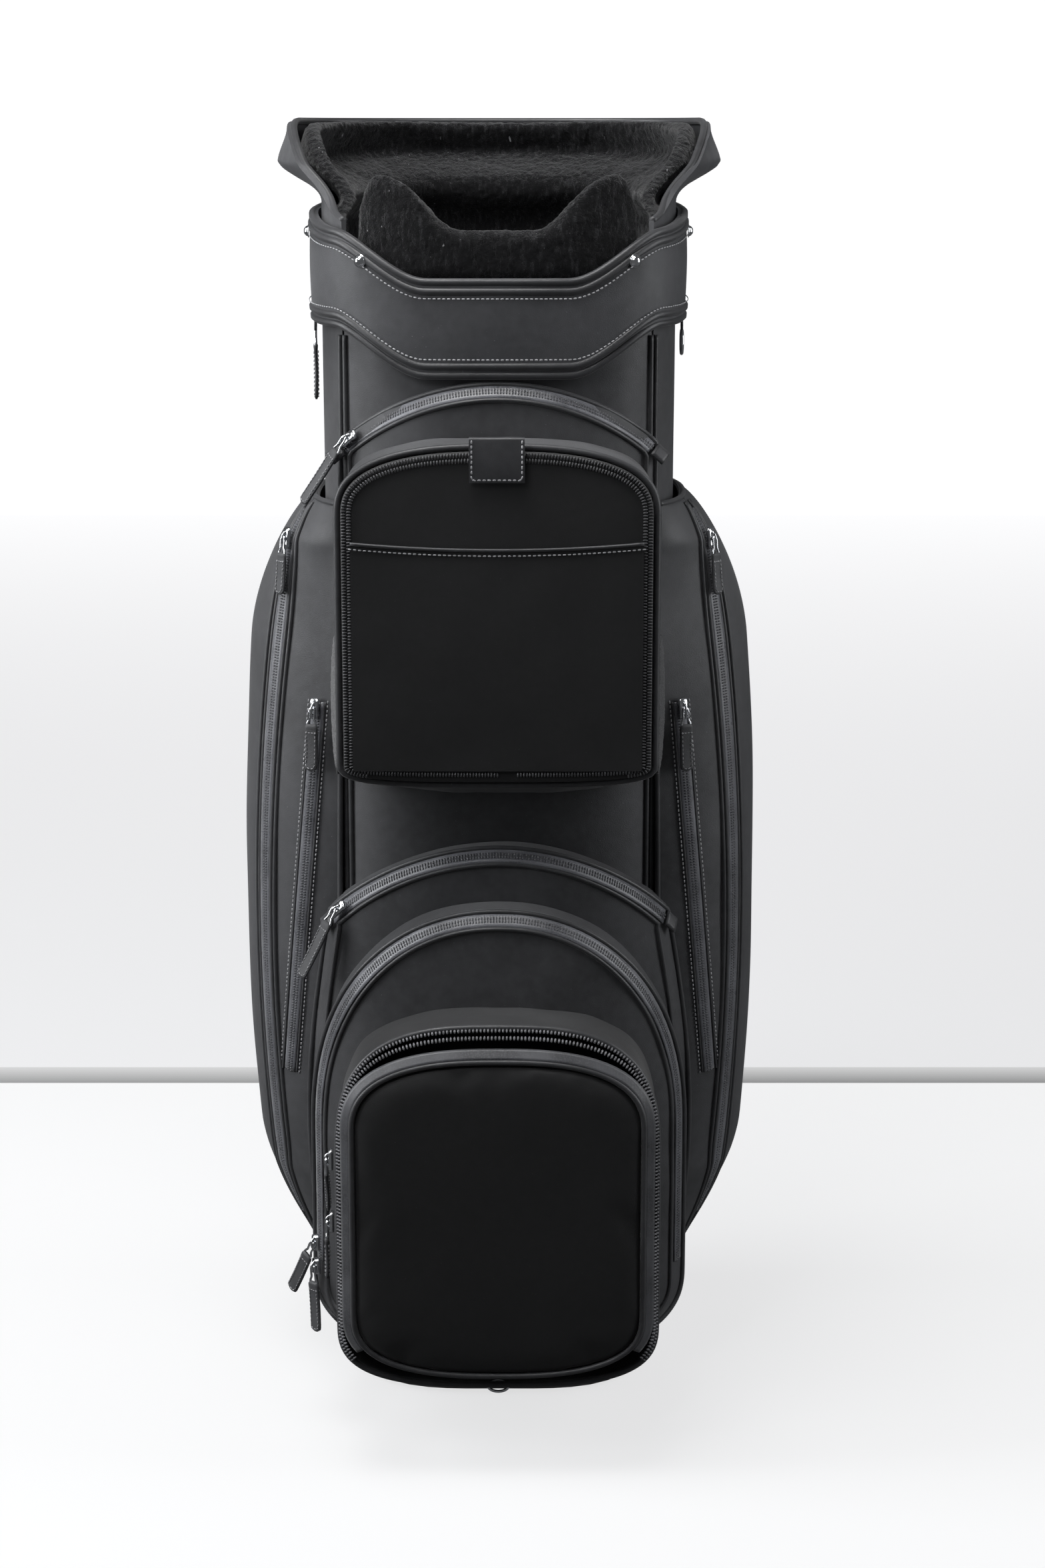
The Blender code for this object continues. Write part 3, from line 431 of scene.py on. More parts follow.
def metal_material(name, colour, rough):
    """Plated metal with hairline scratches and slightly dulled patches."""
    m = Nodes(name)
    m.colour(m.mix(m.ramp(m.noise(300.0, 3.0), (0.4, 0.0), (0.8, 1.0)), colour,
                   tuple(0.72 * c for c in colour)))
    m.roughness(m.noise(700.0, 3.0, 0.6, (1.0, 1.0, 0.1)), *rough)
    m.bump((m.noise(900.0, 3.0, 0.6, (1.0, 0.15, 1.0)), 0.00006, 0.2))
    m.set(Metallic=1.0)
    return m.material


def cloth_material(name, dark, light, scale=640.0, height=0.0003, rough=(0.78, 0.92)):
    """A plain woven cloth, two crossed ribs."""
    m = Nodes(name)
    ribs = []
    for direction in ("X", "Z"):
        wave = m.add("ShaderNodeTexWave", Scale=scale, Distortion=0.8, bands_direction=direction)
        m.link(m.place, wave.inputs["Vector"])
        ribs.append(wave.outputs["Fac"])
    weave = m.add("ShaderNodeMath", operation="MULTIPLY")
    m.link(ribs[0], weave.inputs[0])
    m.link(ribs[1], weave.inputs[1])
    base = m.mix(m.ramp(m.noise(30.0, 3.0), (0.35, 0.0), (0.7, 1.0)), dark, light)
    m.colour(m.mix(m.ramp(weave.outputs["Value"], (0.2, 0.0), (0.8, 1.0)), base, light))
    m.roughness(m.noise(90.0, 2.0), *rough)
    m.bump((weave.outputs["Value"], height, 0.5))
    return m.material


def loop_material():
    """Hook-and-loop: a nap of fine curls, pale where they catch the light."""
    m = Nodes("hook_and_loop_nap")
    curls = m.noise(1100.0, 3.0, 0.75)
    tips = m.ramp(curls, (0.50, 0.0), (0.70, 1.0))
    m.colour(m.mix(tips, (0.012, 0.012, 0.013), (0.13, 0.13, 0.14)))
    m.shader.inputs["Roughness"].default_value = 0.95
    m.bump((curls, 0.0012, 0.9))
    m.set(Sheen_Weight=0.4)
    return m.material


def moulded_material(name, colour, rough):
    """Moulded black plastic with a fine spark-eroded texture and scuffs."""
    m = Nodes(name)
    scuffs = m.ramp(m.noise(60.0, 4.0, 0.7, (1.0, 1.0, 0.3)), (0.62, 0.0), (0.75, 1.0))
    m.colour(m.mix(scuffs, colour, tuple(2.2 * c + 0.01 for c in colour)))
    m.roughness(m.noise(80.0, 3.0), *rough)
    m.bump((m.noise(2400.0, 2.0), 0.00015, 0.4))
    return m.material


LEATHER = leather("leatherette_body", (0.026, 0.0262, 0.0280), (0.074, 0.0745, 0.0800))
LEATHER_FACE = leather("leatherette_panel", (0.0030, 0.0030, 0.0033), (0.0095, 0.0095, 0.0105),
                       (0.54, 0.70), haze=0.4)
LEATHER_SIDE = leather("leatherette_side", (0.0050, 0.0050, 0.0055), (0.0150, 0.0150, 0.0165))
LEATHER_COLLAR = leather("leatherette_collar", (0.034, 0.0345, 0.0375), (0.088, 0.089, 0.095))
LEATHER_EDGE = leather("leatherette_piping", (0.020, 0.020, 0.0215), (0.066, 0.067, 0.072),
                       (0.34, 0.50), 0.6)
FLEECE = fleece_material()
TAPE = tape_material("zip_tape_grey", (0.050, 0.051, 0.057), (0.125, 0.127, 0.140), (0.24, 0.38))
TAPE_DARK = tape_material("zip_tape_black", (0.020, 0.020, 0.023), (0.060, 0.061, 0.067))
COIL = tape_material("zip_coil_grey", (0.020, 0.020, 0.023), (0.060, 0.061, 0.068), (0.26, 0.38))
COIL_BALL = tape_material("zip_coil_ball", (0.060, 0.060, 0.064), (0.13, 0.13, 0.14), (0.24, 0.36))
COIL_DARK = tape_material("zip_coil_black", (0.016, 0.016, 0.018), (0.055, 0.055, 0.060), (0.28, 0.4))
CHROME = metal_material("chrome_plate", (0.80, 0.81, 0.83), (0.06, 0.20))
STEEL = metal_material("stay_rod_steel", (0.48, 0.48, 0.49), (0.28, 0.42))
THREAD = cloth_material("thread_grey", (0.26, 0.26, 0.27), (0.42, 0.42, 0.43), 2000.0, 0.0001)
LINING = cloth_material("lining_weave", (0.020, 0.020, 0.022), (0.040, 0.040, 0.043))
LOOPS = loop_material()
PLASTIC = moulded_material("moulded_plastic", (0.015, 0.015, 0.016), (0.42, 0.58))
FRAME_CLOTH = cloth_material("frame_cover_cloth", (0.012, 0.012, 0.013), (0.028, 0.028, 0.030), 500.0)

# ---- mesh builders ------------------------------------------------------------------------------

CLOTH_FRAMES = 20


def loose(name, mesh):
    made = bpy.data.objects.new(name, mesh)
    bpy.context.scene.collection.objects.link(made)
    return made


def dress(made, material, body, nodes):
    """Gives an object its material and body, and hides the CAD nodes that it stands in for."""
    made.data.materials.clear()
    made.data.materials.append(material)
    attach(made, body)
    if nodes:
        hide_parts(*nodes)
    return made


def piece(name, mesh, material, body, slot, *nodes):
    """Puts a finished mesh in the scene on a CAD body, in place of any CAD nodes named."""
    return dress(loose(name, mesh), material, body, nodes)


def rings_mesh(name, rings, wrap=True, first_cap=False, last_cap=False, wrap_rings=False):
    """A skin over rings of points. wrap closes each ring, wrap_rings joins last to first."""
    mesh = bpy.data.meshes.new(name)
    count = len(rings[0])
    points = [p for ring in rings for p in ring]
    steps = count if wrap else count - 1
    faces = []
    pairs = [(i, i + 1) for i in range(len(rings) - 1)]
    if wrap_rings:
        pairs.append((len(rings) - 1, 0))
    for lower, upper in pairs:
        for i in range(steps):
            j = (i + 1) % count
            a, b = lower * count, upper * count
            faces.append((a + i, a + j, b + j, b + i))
    if first_cap:
        faces.append(tuple(reversed(range(count))))
    if last_cap:
        faces.append(tuple((len(rings) - 1) * count + i for i in range(count)))
    mesh.from_pydata(points, [], faces)
    mesh.shade_smooth()
    return mesh


def displace(mesh, height_at):
    """Moves each point along its normal by a height that depends on where it is."""
    normals = [v.normal.copy() for v in mesh.vertices]
    for vertex, normal in zip(mesh.vertices, normals):
        vertex.co += normal * height_at(vertex.co)


def creases(height, scale, stretch=(1.0, 1.0, 1.0)):
    """A height function of soft, random folds. scale is folds per metre."""
    def at(co):
        place = Vector((co.x * stretch[0], co.y * stretch[1], co.z * stretch[2]))
        return height * noise.noise(place * scale)

    return at


def thicken(mesh, wall):
    """Gives a surface a wall behind it, so that it is one closed mesh."""
    outer = [v.co.copy() for v in mesh.vertices]
    inner = [v.co - v.normal * wall for v in mesh.vertices]
    faces = [tuple(p.vertices) for p in mesh.polygons]
    count = len(outer)
    used = {}
    for face in faces:
        for a, b in zip(face, face[1:] + face[:1]):
            used[(a, b)] = True
    rim = [(a, b) for a, b in used if (b, a) not in used]
    faces += [tuple(count + i for i in reversed(face)) for face in faces]
    faces += [(b, a, count + a, count + b) for a, b in rim]
    mesh.clear_geometry()
    mesh.from_pydata(outer + inner, [], faces)
    mesh.shade_smooth()
    mesh.set_sharp_from_angle(angle=math.radians(50.0))
    return mesh


def grid(name, point_at, columns, rows, wall, height_at=None, wrap=False):
    """A walled sheet over point_at(u, v), with both shares from 0 to 1."""
    last = columns if wrap else columns + 1
    rings = [[point_at(i / columns, j / rows) for i in range(last)] for j in range(rows + 1)]
    mesh = rings_mesh(name, rings, wrap)
    if height_at:
        displace(mesh, height_at)
    return thicken(mesh, wall)


def along(path, spacing, closed=False):
    """The path as evenly spaced points."""
    points = list(path) + ([path[0]] if closed else [])
    lengths = [0.0]
    for a, b in zip(points, points[1:]):
        lengths.append(lengths[-1] + (b - a).length)
    count = max(int(round(lengths[-1] / spacing)), 2)
    made = []
    k = 0
    for i in range(count if closed else count + 1):
        wanted = lengths[-1] * i / count
        while k < len(points) - 2 and lengths[k + 1] < wanted:
            k += 1
        span = max(lengths[k + 1] - lengths[k], 1e-9)
        made.append(points[k].lerp(points[k + 1], (wanted - lengths[k]) / span))
    return made


def tangents(path, closed=False):
    """The direction of the path at each of its points."""
    count = len(path)
    found = []
    for i in range(count):
        before = path[(i - 1) % count] if closed else path[max(i - 1, 0)]
        after = path[(i + 1) % count] if closed else path[min(i + 1, count - 1)]
        found.append((after - before).normalized())
    return found


def sweep(path, radius, sides, closed):
    """Rings of a round bar along a path."""
    ways = tangents(path, closed)
    across = ways[0].orthogonal().normalized()
    rings = []
    for point, way in zip(path, ways):
        across = (across - across.dot(way) * way).normalized()
        lift = across.cross(way)
        rings.append([
            point + radius * (math.cos(a) * across + math.sin(a) * lift)
            for a in turns(sides)
        ])
    return rings


def merge(name, meshes):
    """Joins several meshes into one."""
    form = bmesh.new()
    for mesh in meshes:
        form.from_mesh(mesh)
        bpy.data.meshes.remove(mesh)
    bmesh.ops.recalc_face_normals(form, faces=form.faces[:])
    mesh = bpy.data.meshes.new(name)
    form.to_mesh(mesh)
    form.free()
    mesh.shade_smooth()
    return mesh


def tube(path, radius, closed=False, spacing=0.004, sides=8):
    """A round bar along a path."""
    rings = sweep(along(path, spacing, closed), radius, sides, closed)
    return rings_mesh("tube", rings, True, not closed, not closed, closed)


def piping(name, paths, radius, body="bag", closed=False):
    meshes = [tube(path, radius, closed) for path in paths]
    return piece(name, merge(name, meshes), LEATHER_EDGE, body, "leatherette")


def ribbon_mesh(path, outs, width, thickness, crown=0.0):
    """A flat band along a path. outs are its outward directions."""
    rings = []
    half = width / 2.0
    for point, way, out in zip(path, tangents(path), outs):
        across = way.cross(out).normalized()
        lift = across.cross(way).normalized()
        right = ((half * 0.97, thickness), (half * 0.5, thickness + crown))
        section = ((-half, 0.0), (half, 0.0), *right, (0.0, thickness + 1.3 * crown),
                   *((-a, b) for a, b in reversed(right)))
        rings.append([point + a * across + b * lift for a, b in section])
    return rings_mesh("ribbon", rings, True, True, True)


def capsule(centre, way, out, length, width, height):
    """A small rounded bar: a stitch or a zip tooth."""
    side = way.cross(out).normalized()
    rings = []
    for s, r in ((-1.0, 0.25), (-0.72, 0.85), (0.0, 1.0), (0.72, 0.85), (1.0, 0.25)):
        ring = []
        for k in range(6):
            a = math.pi * k / 3.0
            ring.append(centre + way * (0.5 * length * s)
                        + r * (0.5 * width * math.cos(a) * side + 0.5 * height * math.sin(a) * out))
        rings.append(ring)
    return rings


def bars(name, items):
    """Many capsules in one mesh. Each item is (centre, way, out, length, width, height)."""
    points = []
    faces = []
    for item in items:
        start = len(points)
        rings = capsule(*item)
        for ring in rings:
            points += ring
        for r in range(4):
            for i in range(6):
                j = (i + 1) % 6
                a = start + 6 * r
                faces.append((a + i, a + j, a + 6 + j, a + 6 + i))
        faces.append(tuple(start + i for i in reversed(range(6))))
        faces.append(tuple(start + 24 + i for i in range(6)))
    mesh = bpy.data.meshes.new(name)
    mesh.from_pydata(points, [], faces)
    mesh.shade_smooth()
    return mesh


def stitch_items(path, outs, pitch=0.0034, length=0.0023, width=0.0011, closed=False):
    """Stitches along a path. outs is one direction, or a function of the point."""
    points = along(path, pitch, closed)
    items = []
    for point, way in zip(points, tangents(points, closed)):
        out = outs(point) if callable(outs) else outs
        out = (out - out.dot(way) * way).normalized()
        items.append((point + out * 0.0002, way, out, length, width, 0.0007))
    return items


def stitches(name, lines, body="bag"):
    """One piece of thread from rows of stitch items."""
    items = [item for line in lines for item in line]
    return piece(name, bars(name, items), THREAD, body, "thread")


def coil_items(path, outs, offset, width=0.0024, pitch=0.0021, height=0.0011):
    """One row of a zip's coil, set this far to the side of the path."""
    length = sum((b - a).length for a, b in zip(path, path[1:]))
    count = max(int(length / pitch), 2)
    rows = along(path, length / count)
    items = []
    for i, (point, way) in enumerate(zip(rows, tangents(rows))):
        k = min(int(i * (len(path) - 1) / max(len(rows) - 1, 1)), len(path) - 1)
        out = outs[k]
        side = way.cross(out).normalized()
        items.append((point + side * offset + out * 0.0004, side, out, width, pitch * 0.62, height))
    return items


def radial_out(point):
    """Outward direction of the trunk near a point."""
    angle = math.degrees(math.atan2(point.x, -point.y))
    ahead = trunk_point(angle + 1.0, 0.0, 0.0)
    behind = trunk_point(angle - 1.0, 0.0, 0.0)
    return (ahead - behind).cross(UP).normalized()


def inflate(obj, voxel, push):
    """Swells a closed pad by a short cloth simulation, with no point moving further than push."""
    bpy.context.view_layer.objects.active = obj
    remesh = obj.modifiers.new("remesh", "REMESH")
    remesh.mode = "VOXEL"
    remesh.voxel_size = voxel
    apply_all(obj)
    before = [v.co.copy() for v in obj.data.vertices]
    cloth = obj.modifiers.new("cloth", "CLOTH")
    settings = cloth.settings
    settings.use_pressure = True
    settings.uniform_pressure_force = 4.0
    settings.tension_stiffness = 20.0
    settings.bending_stiffness = 2.0
    settings.effector_weights.gravity = 0.0
    cloth.point_cache.frame_end = CLOTH_FRAMES
    scene = bpy.context.scene
    for number in range(1, CLOTH_FRAMES + 1):
        scene.frame_set(number)
    apply_all(obj)
    scene.frame_set(1)
    for vertex, old in zip(obj.data.vertices, before):
        moved = vertex.co - old
        if moved.length > push:
            vertex.co = old + moved * (push / moved.length)
    smooth = obj.modifiers.new("smooth", "SMOOTH")
    smooth.iterations = 2
    fine = obj.modifiers.new("fine", "SUBSURF")
    fine.levels = 1
    fine.render_levels = 1
    apply_all(obj)
    obj.data.shade_smooth()


def apply_all(obj):
    """Replaces the object's mesh with what its modifiers make of it."""
    graph = bpy.context.evaluated_depsgraph_get()
    graph.update()
    mesh = bpy.data.meshes.new_from_object(obj.evaluated_get(graph))
    obj.modifiers.clear()
    obj.data = mesh


def padded_piece(name, mesh, material, body, voxel, push, nodes, relief):
    """A padded piece, swelled by the cloth simulation and then given its relief."""
    made = loose(name, mesh)
    inflate(made, voxel, push)
    displace(made.data, relief)
    dress(made, material, body, nodes)
    return made


# ---- trunk and dividers -------------------------------------------------------------------------


PANEL_GAP = 0.45
BACK = 180.0
SPINE_HALF = 24.0
SPINE_LOW = 0.075
SPINE_TALL = 0.71
SPINE_HIGH = 0.785


def make_trunk():
    fine = creases(0.0007, 14.0, (1.0, 1.0, 0.6))
    for word, first, last, columns in (
        ("front", -SEAM + PANEL_GAP, SEAM - PANEL_GAP, 44),
        ("right", SEAM + PANEL_GAP, BACK - SEAM - PANEL_GAP, 24),
        ("back", BACK - SEAM + PANEL_GAP, BACK + SEAM - PANEL_GAP, 44),
        ("left", BACK + SEAM + PANEL_GAP, 360.0 - SEAM - PANEL_GAP, 24),
    ):
        def at(u, v):
            return trunk_point(first + (last - first) * u, 0.0, 0.0125 + 0.8095 * v)

        mesh = grid("panel", at, columns, 90, 0.0035, fine)
        piece(f"trunk_{word}_leather", mesh, LEATHER, "bag", "leatherette", f"trunk_{word}_panel")
    heights = spread(0.056, 0.75, 60)
    lines = []
    for seam in (SEAM, BACK - SEAM, BACK + SEAM, 360.0 - SEAM):
        for side in (-1.15, 1.15):
            lines.append([trunk_point(seam + side, 0.0010, z) for z in heights])
    piping("trunk_seam_piping", lines, 0.0019)
    rows = []
    for angle in (BACK - 26.0, BACK + 26.0):
        line = [trunk_point(angle, 0.0006, z) for z in spread(SPINE_LOW, SPINE_TALL, 60)]
        rows.append(stitch_items(line, radial_out(trunk_point(angle, 0.0, 0.5))))
    stitches("back_panel_stitches", rows)

    def spine(u, v):
        lift = 0.0034 * (1.0 - (2.0 * u - 1.0) ** 6) * (1.0 - abs(2.0 * v - 1.0) ** 22)
        angle = BACK - SPINE_HALF + 2.0 * SPINE_HALF * u
        return trunk_point(angle, 0.0016 + lift, SPINE_LOW + SPINE_TALL * v)

    mesh = grid("spine", spine, 40, 90, 0.0012, creases(0.0005, 22.0))
    piece("back_spine_pad", mesh, LEATHER_FACE, "bag", "leatherette")
    left, right, width = BACK - SPINE_HALF, BACK + SPINE_HALF, 2.0 * SPINE_HALF
    corners = [(left, z) for z in spread(SPINE_LOW, SPINE_TALL, 50)]
    corners += [(angle, SPINE_HIGH) for angle in spread(left, width, 16)[1:]]
    corners += [(right, z) for z in spread(SPINE_HIGH, -SPINE_TALL, 50)[1:]]
    corners += [(angle, SPINE_LOW) for angle in spread(right, -width, 16)[1:-1]]
    edge = [trunk_point(angle, 0.0018, z) for angle, z in corners]
    piping("back_spine_piping", [edge], 0.0018, closed=True)


def make_inside():
    nodes = frame["nodes"]
    for name, material in (("base_cup", PLASTIC), ("divider_frame", FRAME_CLOTH),
                           ("stay_rod_left", STEEL), ("stay_rod_right", STEEL)):
        nodes[name].data.materials.clear()
        nodes[name].data.materials.append(material)
    for word in ("front", "rear", "middle", "back"):
        low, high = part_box(f"divider_sheet_{word}")
        size = high - low
        across = 0 if size.x > size.y else 1
        middle = 0.5 * (low + high)

        def at(u, v):
            point = Vector((middle.x, middle.y, low.z + size.z * v))
            # narrower at the foot, where the trunk draws in
            foot = 1.15 * BASE_TAPER * max(1.0 - (point.z - low.z) / (TAPER_TOP - low.z), 0.0)
            first = foot if word in ("front", "rear") else 0.0
            last = foot if word != "middle" else 0.0
            point[across] = low[across] + first + (size[across] - first - last) * u
            point[1 - across] += 0.0005 + 0.0004 * math.sin(9.0 * u + 7.0 * v) * math.sin(math.pi * v)
            return point

        sheet = piece(f"divider_cloth_{word}", grid("sheet", at, 24, 60, 0.0009), LINING, "bag",
                      "lining_cloth", f"divider_sheet_{word}")


# ---- collar and mouth ---------------------------------------------------------------------------

# heights of the lower and upper edge at the front, the front corner, the side and the back
COLLAR = ((0.778, 0.812, 0.815, 0.810), (0.847, 0.880, 0.893, 0.900))


def collar_edge(angle, which):
    """Height of the collar's lower (0) or upper (1) edge."""
    turn = abs((angle + 180.0) % 360.0 - 180.0)
    front, corner, side, back = COLLAR[which]
    return (
        front + (corner - front) * smooth_step(22.0, 52.0, turn)
        + (side - corner) * smooth_step(45.0, 90.0, turn)
        + (back - side) * smooth_step(90.0, 150.0, turn)
    )


def collar_line(offset, inset, which):
    """A line round the collar, this far inside its lower or upper edge."""
    sign = 1.0 if which == 0 else -1.0
    return [trunk_point(angle, offset, collar_edge(angle, which) + sign * inset)
            for angle in spread(0.0, 360.0, 240)[:-1]]


def make_collar():
    def at(u, v):
        angle = 360.0 * u
        low, high = collar_edge(angle, 0), collar_edge(angle, 1)
        return trunk_point(angle, 0.0070 + 0.0014 * math.sin(math.pi * v), low + (high - low) * v)

    mesh = grid("collar", at, 200, 14, 0.0055, creases(0.0006, 20.0), wrap=True)
    piece("collar_leather", mesh, LEATHER_COLLAR, "bag", "leatherette", "collar_band")
    lines = [collar_line(*place, which) for which in (0, 1)
             for place in ((0.0058, 0.0022), (0.0066, 0.0086))]
    piping("collar_piping", lines, 0.0029, closed=True)
    rows = [stitch_items(collar_line(0.0091, 0.0134, which), radial_out, closed=True)
            for which in (0, 1)]
    stitches("collar_stitches", rows)


LIP_HALF_ANGLE = 46.6
PAD_SEAT = FRAME_TOP + 0.0012
CUFF_SEAT = FRAME_TOP + 0.0006
CUFF_START = 0.006
CUFF_RISE = 0.028
CUFF_FLARE = 0.038
CUFF_ROLL = 0.009
CUFF_ROLL_REACH = 0.030
CUFF_SPREAD = 1.35
CUFF_ENDS = 0.885


def lip_top(angle):
    """The lip's upper edge: a dip at the front between two horns."""
    turn = abs(angle)
    return 0.884 + 0.034 * smooth_step(12.0, 38.0, turn) - 0.030 * smooth_step(41.0, 49.0, turn)


def cuff_top(angle):
    return CUFF_ENDS + 0.070 * smooth_step(48.0, 108.0, BACK - abs(angle - BACK))


def cuff_face(u, v, depth, trim=0.0, drop=0.0):
    """A point of the cuff: it flares out above the collar and rolls back in at its top."""
    start = 52.0 + trim
    angle = start + (360.0 - 2.0 * start) * u
    z = CUFF_SEAT + (cuff_top(angle) - drop - CUFF_SEAT) * v
    bottom = collar_edge(angle, 1) + CUFF_START
    flare = CUFF_FLARE * smooth_step(bottom, bottom + CUFF_RISE, z)
    flare -= CUFF_ROLL * smooth_step(cuff_top(angle) - CUFF_ROLL_REACH, cuff_top(angle), z)
    flare *= smooth_step(50.0, 105.0, BACK - abs(angle - BACK))
    deeper = 1.0 + CUFF_SPREAD * smooth_step(CUFF_ENDS, 0.900, z)
    return trunk_point(angle, -0.0005 + flare - depth * deeper, z)


def pad_mesh(name, face, thick, columns, rows):
    """A pad between face(u, v, depth) at depth 0 and at its thickness, with rounded ends."""
    rings = []
    for i in range(columns + 1):
        u = i / columns
        end = min(u, 1.0 - u) * columns / 1.5
        slim = math.sqrt(max(1.0 - (1.0 - min(end, 1.0)) ** 2, 0.06))
        front, back = 0.5 * thick * (1.0 - slim), 0.5 * thick * (1.0 + slim)
        ring = [face(u, j / rows, front) for j in range(rows + 1)]
        ring.append(face(u, 1.0 + 0.35 * thick / 0.06, 0.5 * thick))
        ring += [face(u, j / rows, back) for j in range(rows, -1, -1)]
        rings.append(ring)
    mesh = rings_mesh(name, rings, True, True, True)
    form = bmesh.new()
    form.from_mesh(mesh)
    bmesh.ops.recalc_face_normals(form, faces=form.faces[:])
    form.to_mesh(mesh)
    form.free()
    return mesh


def pile(height):
    """Uneven tufts of a short pile."""
    return lambda co: height * (noise.noise(co * 420.0) + 0.6 * noise.noise(co * 150.0))


def make_mouth():
    def lip(u, v, depth):
        angle = -LIP_HALF_ANGLE + 2.0 * LIP_HALF_ANGLE * u
        top = lip_top(angle) - 0.0028
        return trunk_point(angle, -0.0012 - depth, PAD_SEAT + (top - PAD_SEAT) * v)

    padded_piece("front_lip_fleece", pad_mesh("lip", lip, 0.0090, 70, 14), FLEECE, "bag",
                 0.0035, 0.0022, ("front_lip_pad",), pile(0.0007))

    def quilted(co):
        """Shallow valleys where the leather is sewn to the pad."""
        turn = math.degrees(math.atan2(co.x, -co.y)) % 360.0
        seam = min(abs((turn + 15.0) % 30.0 - 15.0) / 1.1, 1.0)
        return -0.0009 * (1.0 - seam) ** 2 + 0.0005 * noise.noise(co * 30.0)

    shell = grid("cuff", lambda u, v: cuff_face(u, v, 0.0), 180, 30, 0.0040, quilted)
    piece("rear_cuff_leather", shell, LEATHER_COLLAR, "bag", "leatherette", "rear_cuff_shell")
    rim = [cuff_face(k / 150, 1.0, 0.0022) for k in range(151)]
    piping("rear_cuff_piping", [rim], 0.0026)

    def inner(u, v, depth):
        return cuff_face(u, v, 0.0058 + depth, 0.5, 0.0018)

    pad = pad_mesh("cuff", inner, 0.0050, 150, 24)
    padded_piece("rear_cuff_fleece", pad, FLEECE, "bag", 0.0032, 0.0016,
                 ("rear_cuff_pad",), pile(0.0008))


def make_studs():
    """Domed rivets on a flat washer."""
    profile = ((0.0046, 0.0), (0.0048, 0.0003), (0.0047, 0.0008), (0.0040, 0.0009), (0.0039, 0.0012),
               (0.0034, 0.0022), (0.0024, 0.0032), (0.0012, 0.0038))
    for word, angle, z in (("front_left", -41.0, 0.859), ("front_right", 41.0, 0.859),
                           ("side_left", -77.0, 0.877), ("side_right", 77.0, 0.877)):
        centre = trunk_point(angle, 0.0086, z)
        out = radial_out(centre)
        across = out.cross(UP)
        rings = []
        for radius, height in profile:
            rings.append([centre + out * height + radius * (math.cos(a) * across + math.sin(a) * UP)
                          for a in turns(24)])
        mesh = rings_mesh(f"stud_{word}_dome", rings, True, True, True)
        piece(f"rivet_{word}", merge("rivet", [mesh]), CHROME, "bag", "chrome", f"stud_{word}")


# ---- side pockets -------------------------------------------------------------------------------


def side_point(side, angle, z, lift=0.0):
    """A point on the left (-1) or right (1) side pocket."""
    angle = max(min(angle, 180.0 - SEAM), SEAM)
    z = min(max(z, SIDE_LOW + 1e-5), SIDE_HIGH - 1e-5)
    return polar(side * angle, side_radius(angle, z) + lift, z)


def side_out(side, angle, z):
    ahead = side_point(1.0, angle + 1.0, z)
    behind = side_point(1.0, angle - 1.0, z)
    above = side_point(1.0, angle, z + 0.004)
    below = side_point(1.0, angle, z - 0.004)
    out = (ahead - behind).cross(above - below).normalized()
    return Vector((side * out.x, out.y, out.z))


def zip_band(name, path, outs, width):
    """A zip tape with the two rows of its coil."""
    piece(name, ribbon_mesh(path, outs, width, 0.0008), TAPE, "bag", "zip_tape")
    items = coil_items(path, outs, 0.0013) + coil_items(path, outs, -0.0013)
    items = [(item[0] + item[2] * 0.0006, *item[1:]) for item in items]
    piece(f"{name}_coil", bars(name, items), COIL, "bag", "zip_tape")


def front_face_point(side, x, z):
    return Vector((side * x, body_front(x, z), z))


def front_face_out(side, x, z):
    step = 0.002
    here = Vector((x, body_front(x, z), z))
    over = Vector((x + step, body_front(x + step, z), z))
    above = Vector((x, body_front(x, z + step), z + step))
    out = (over - here).cross(above - here).normalized()
    return Vector((side * out.x, out.y, out.z))


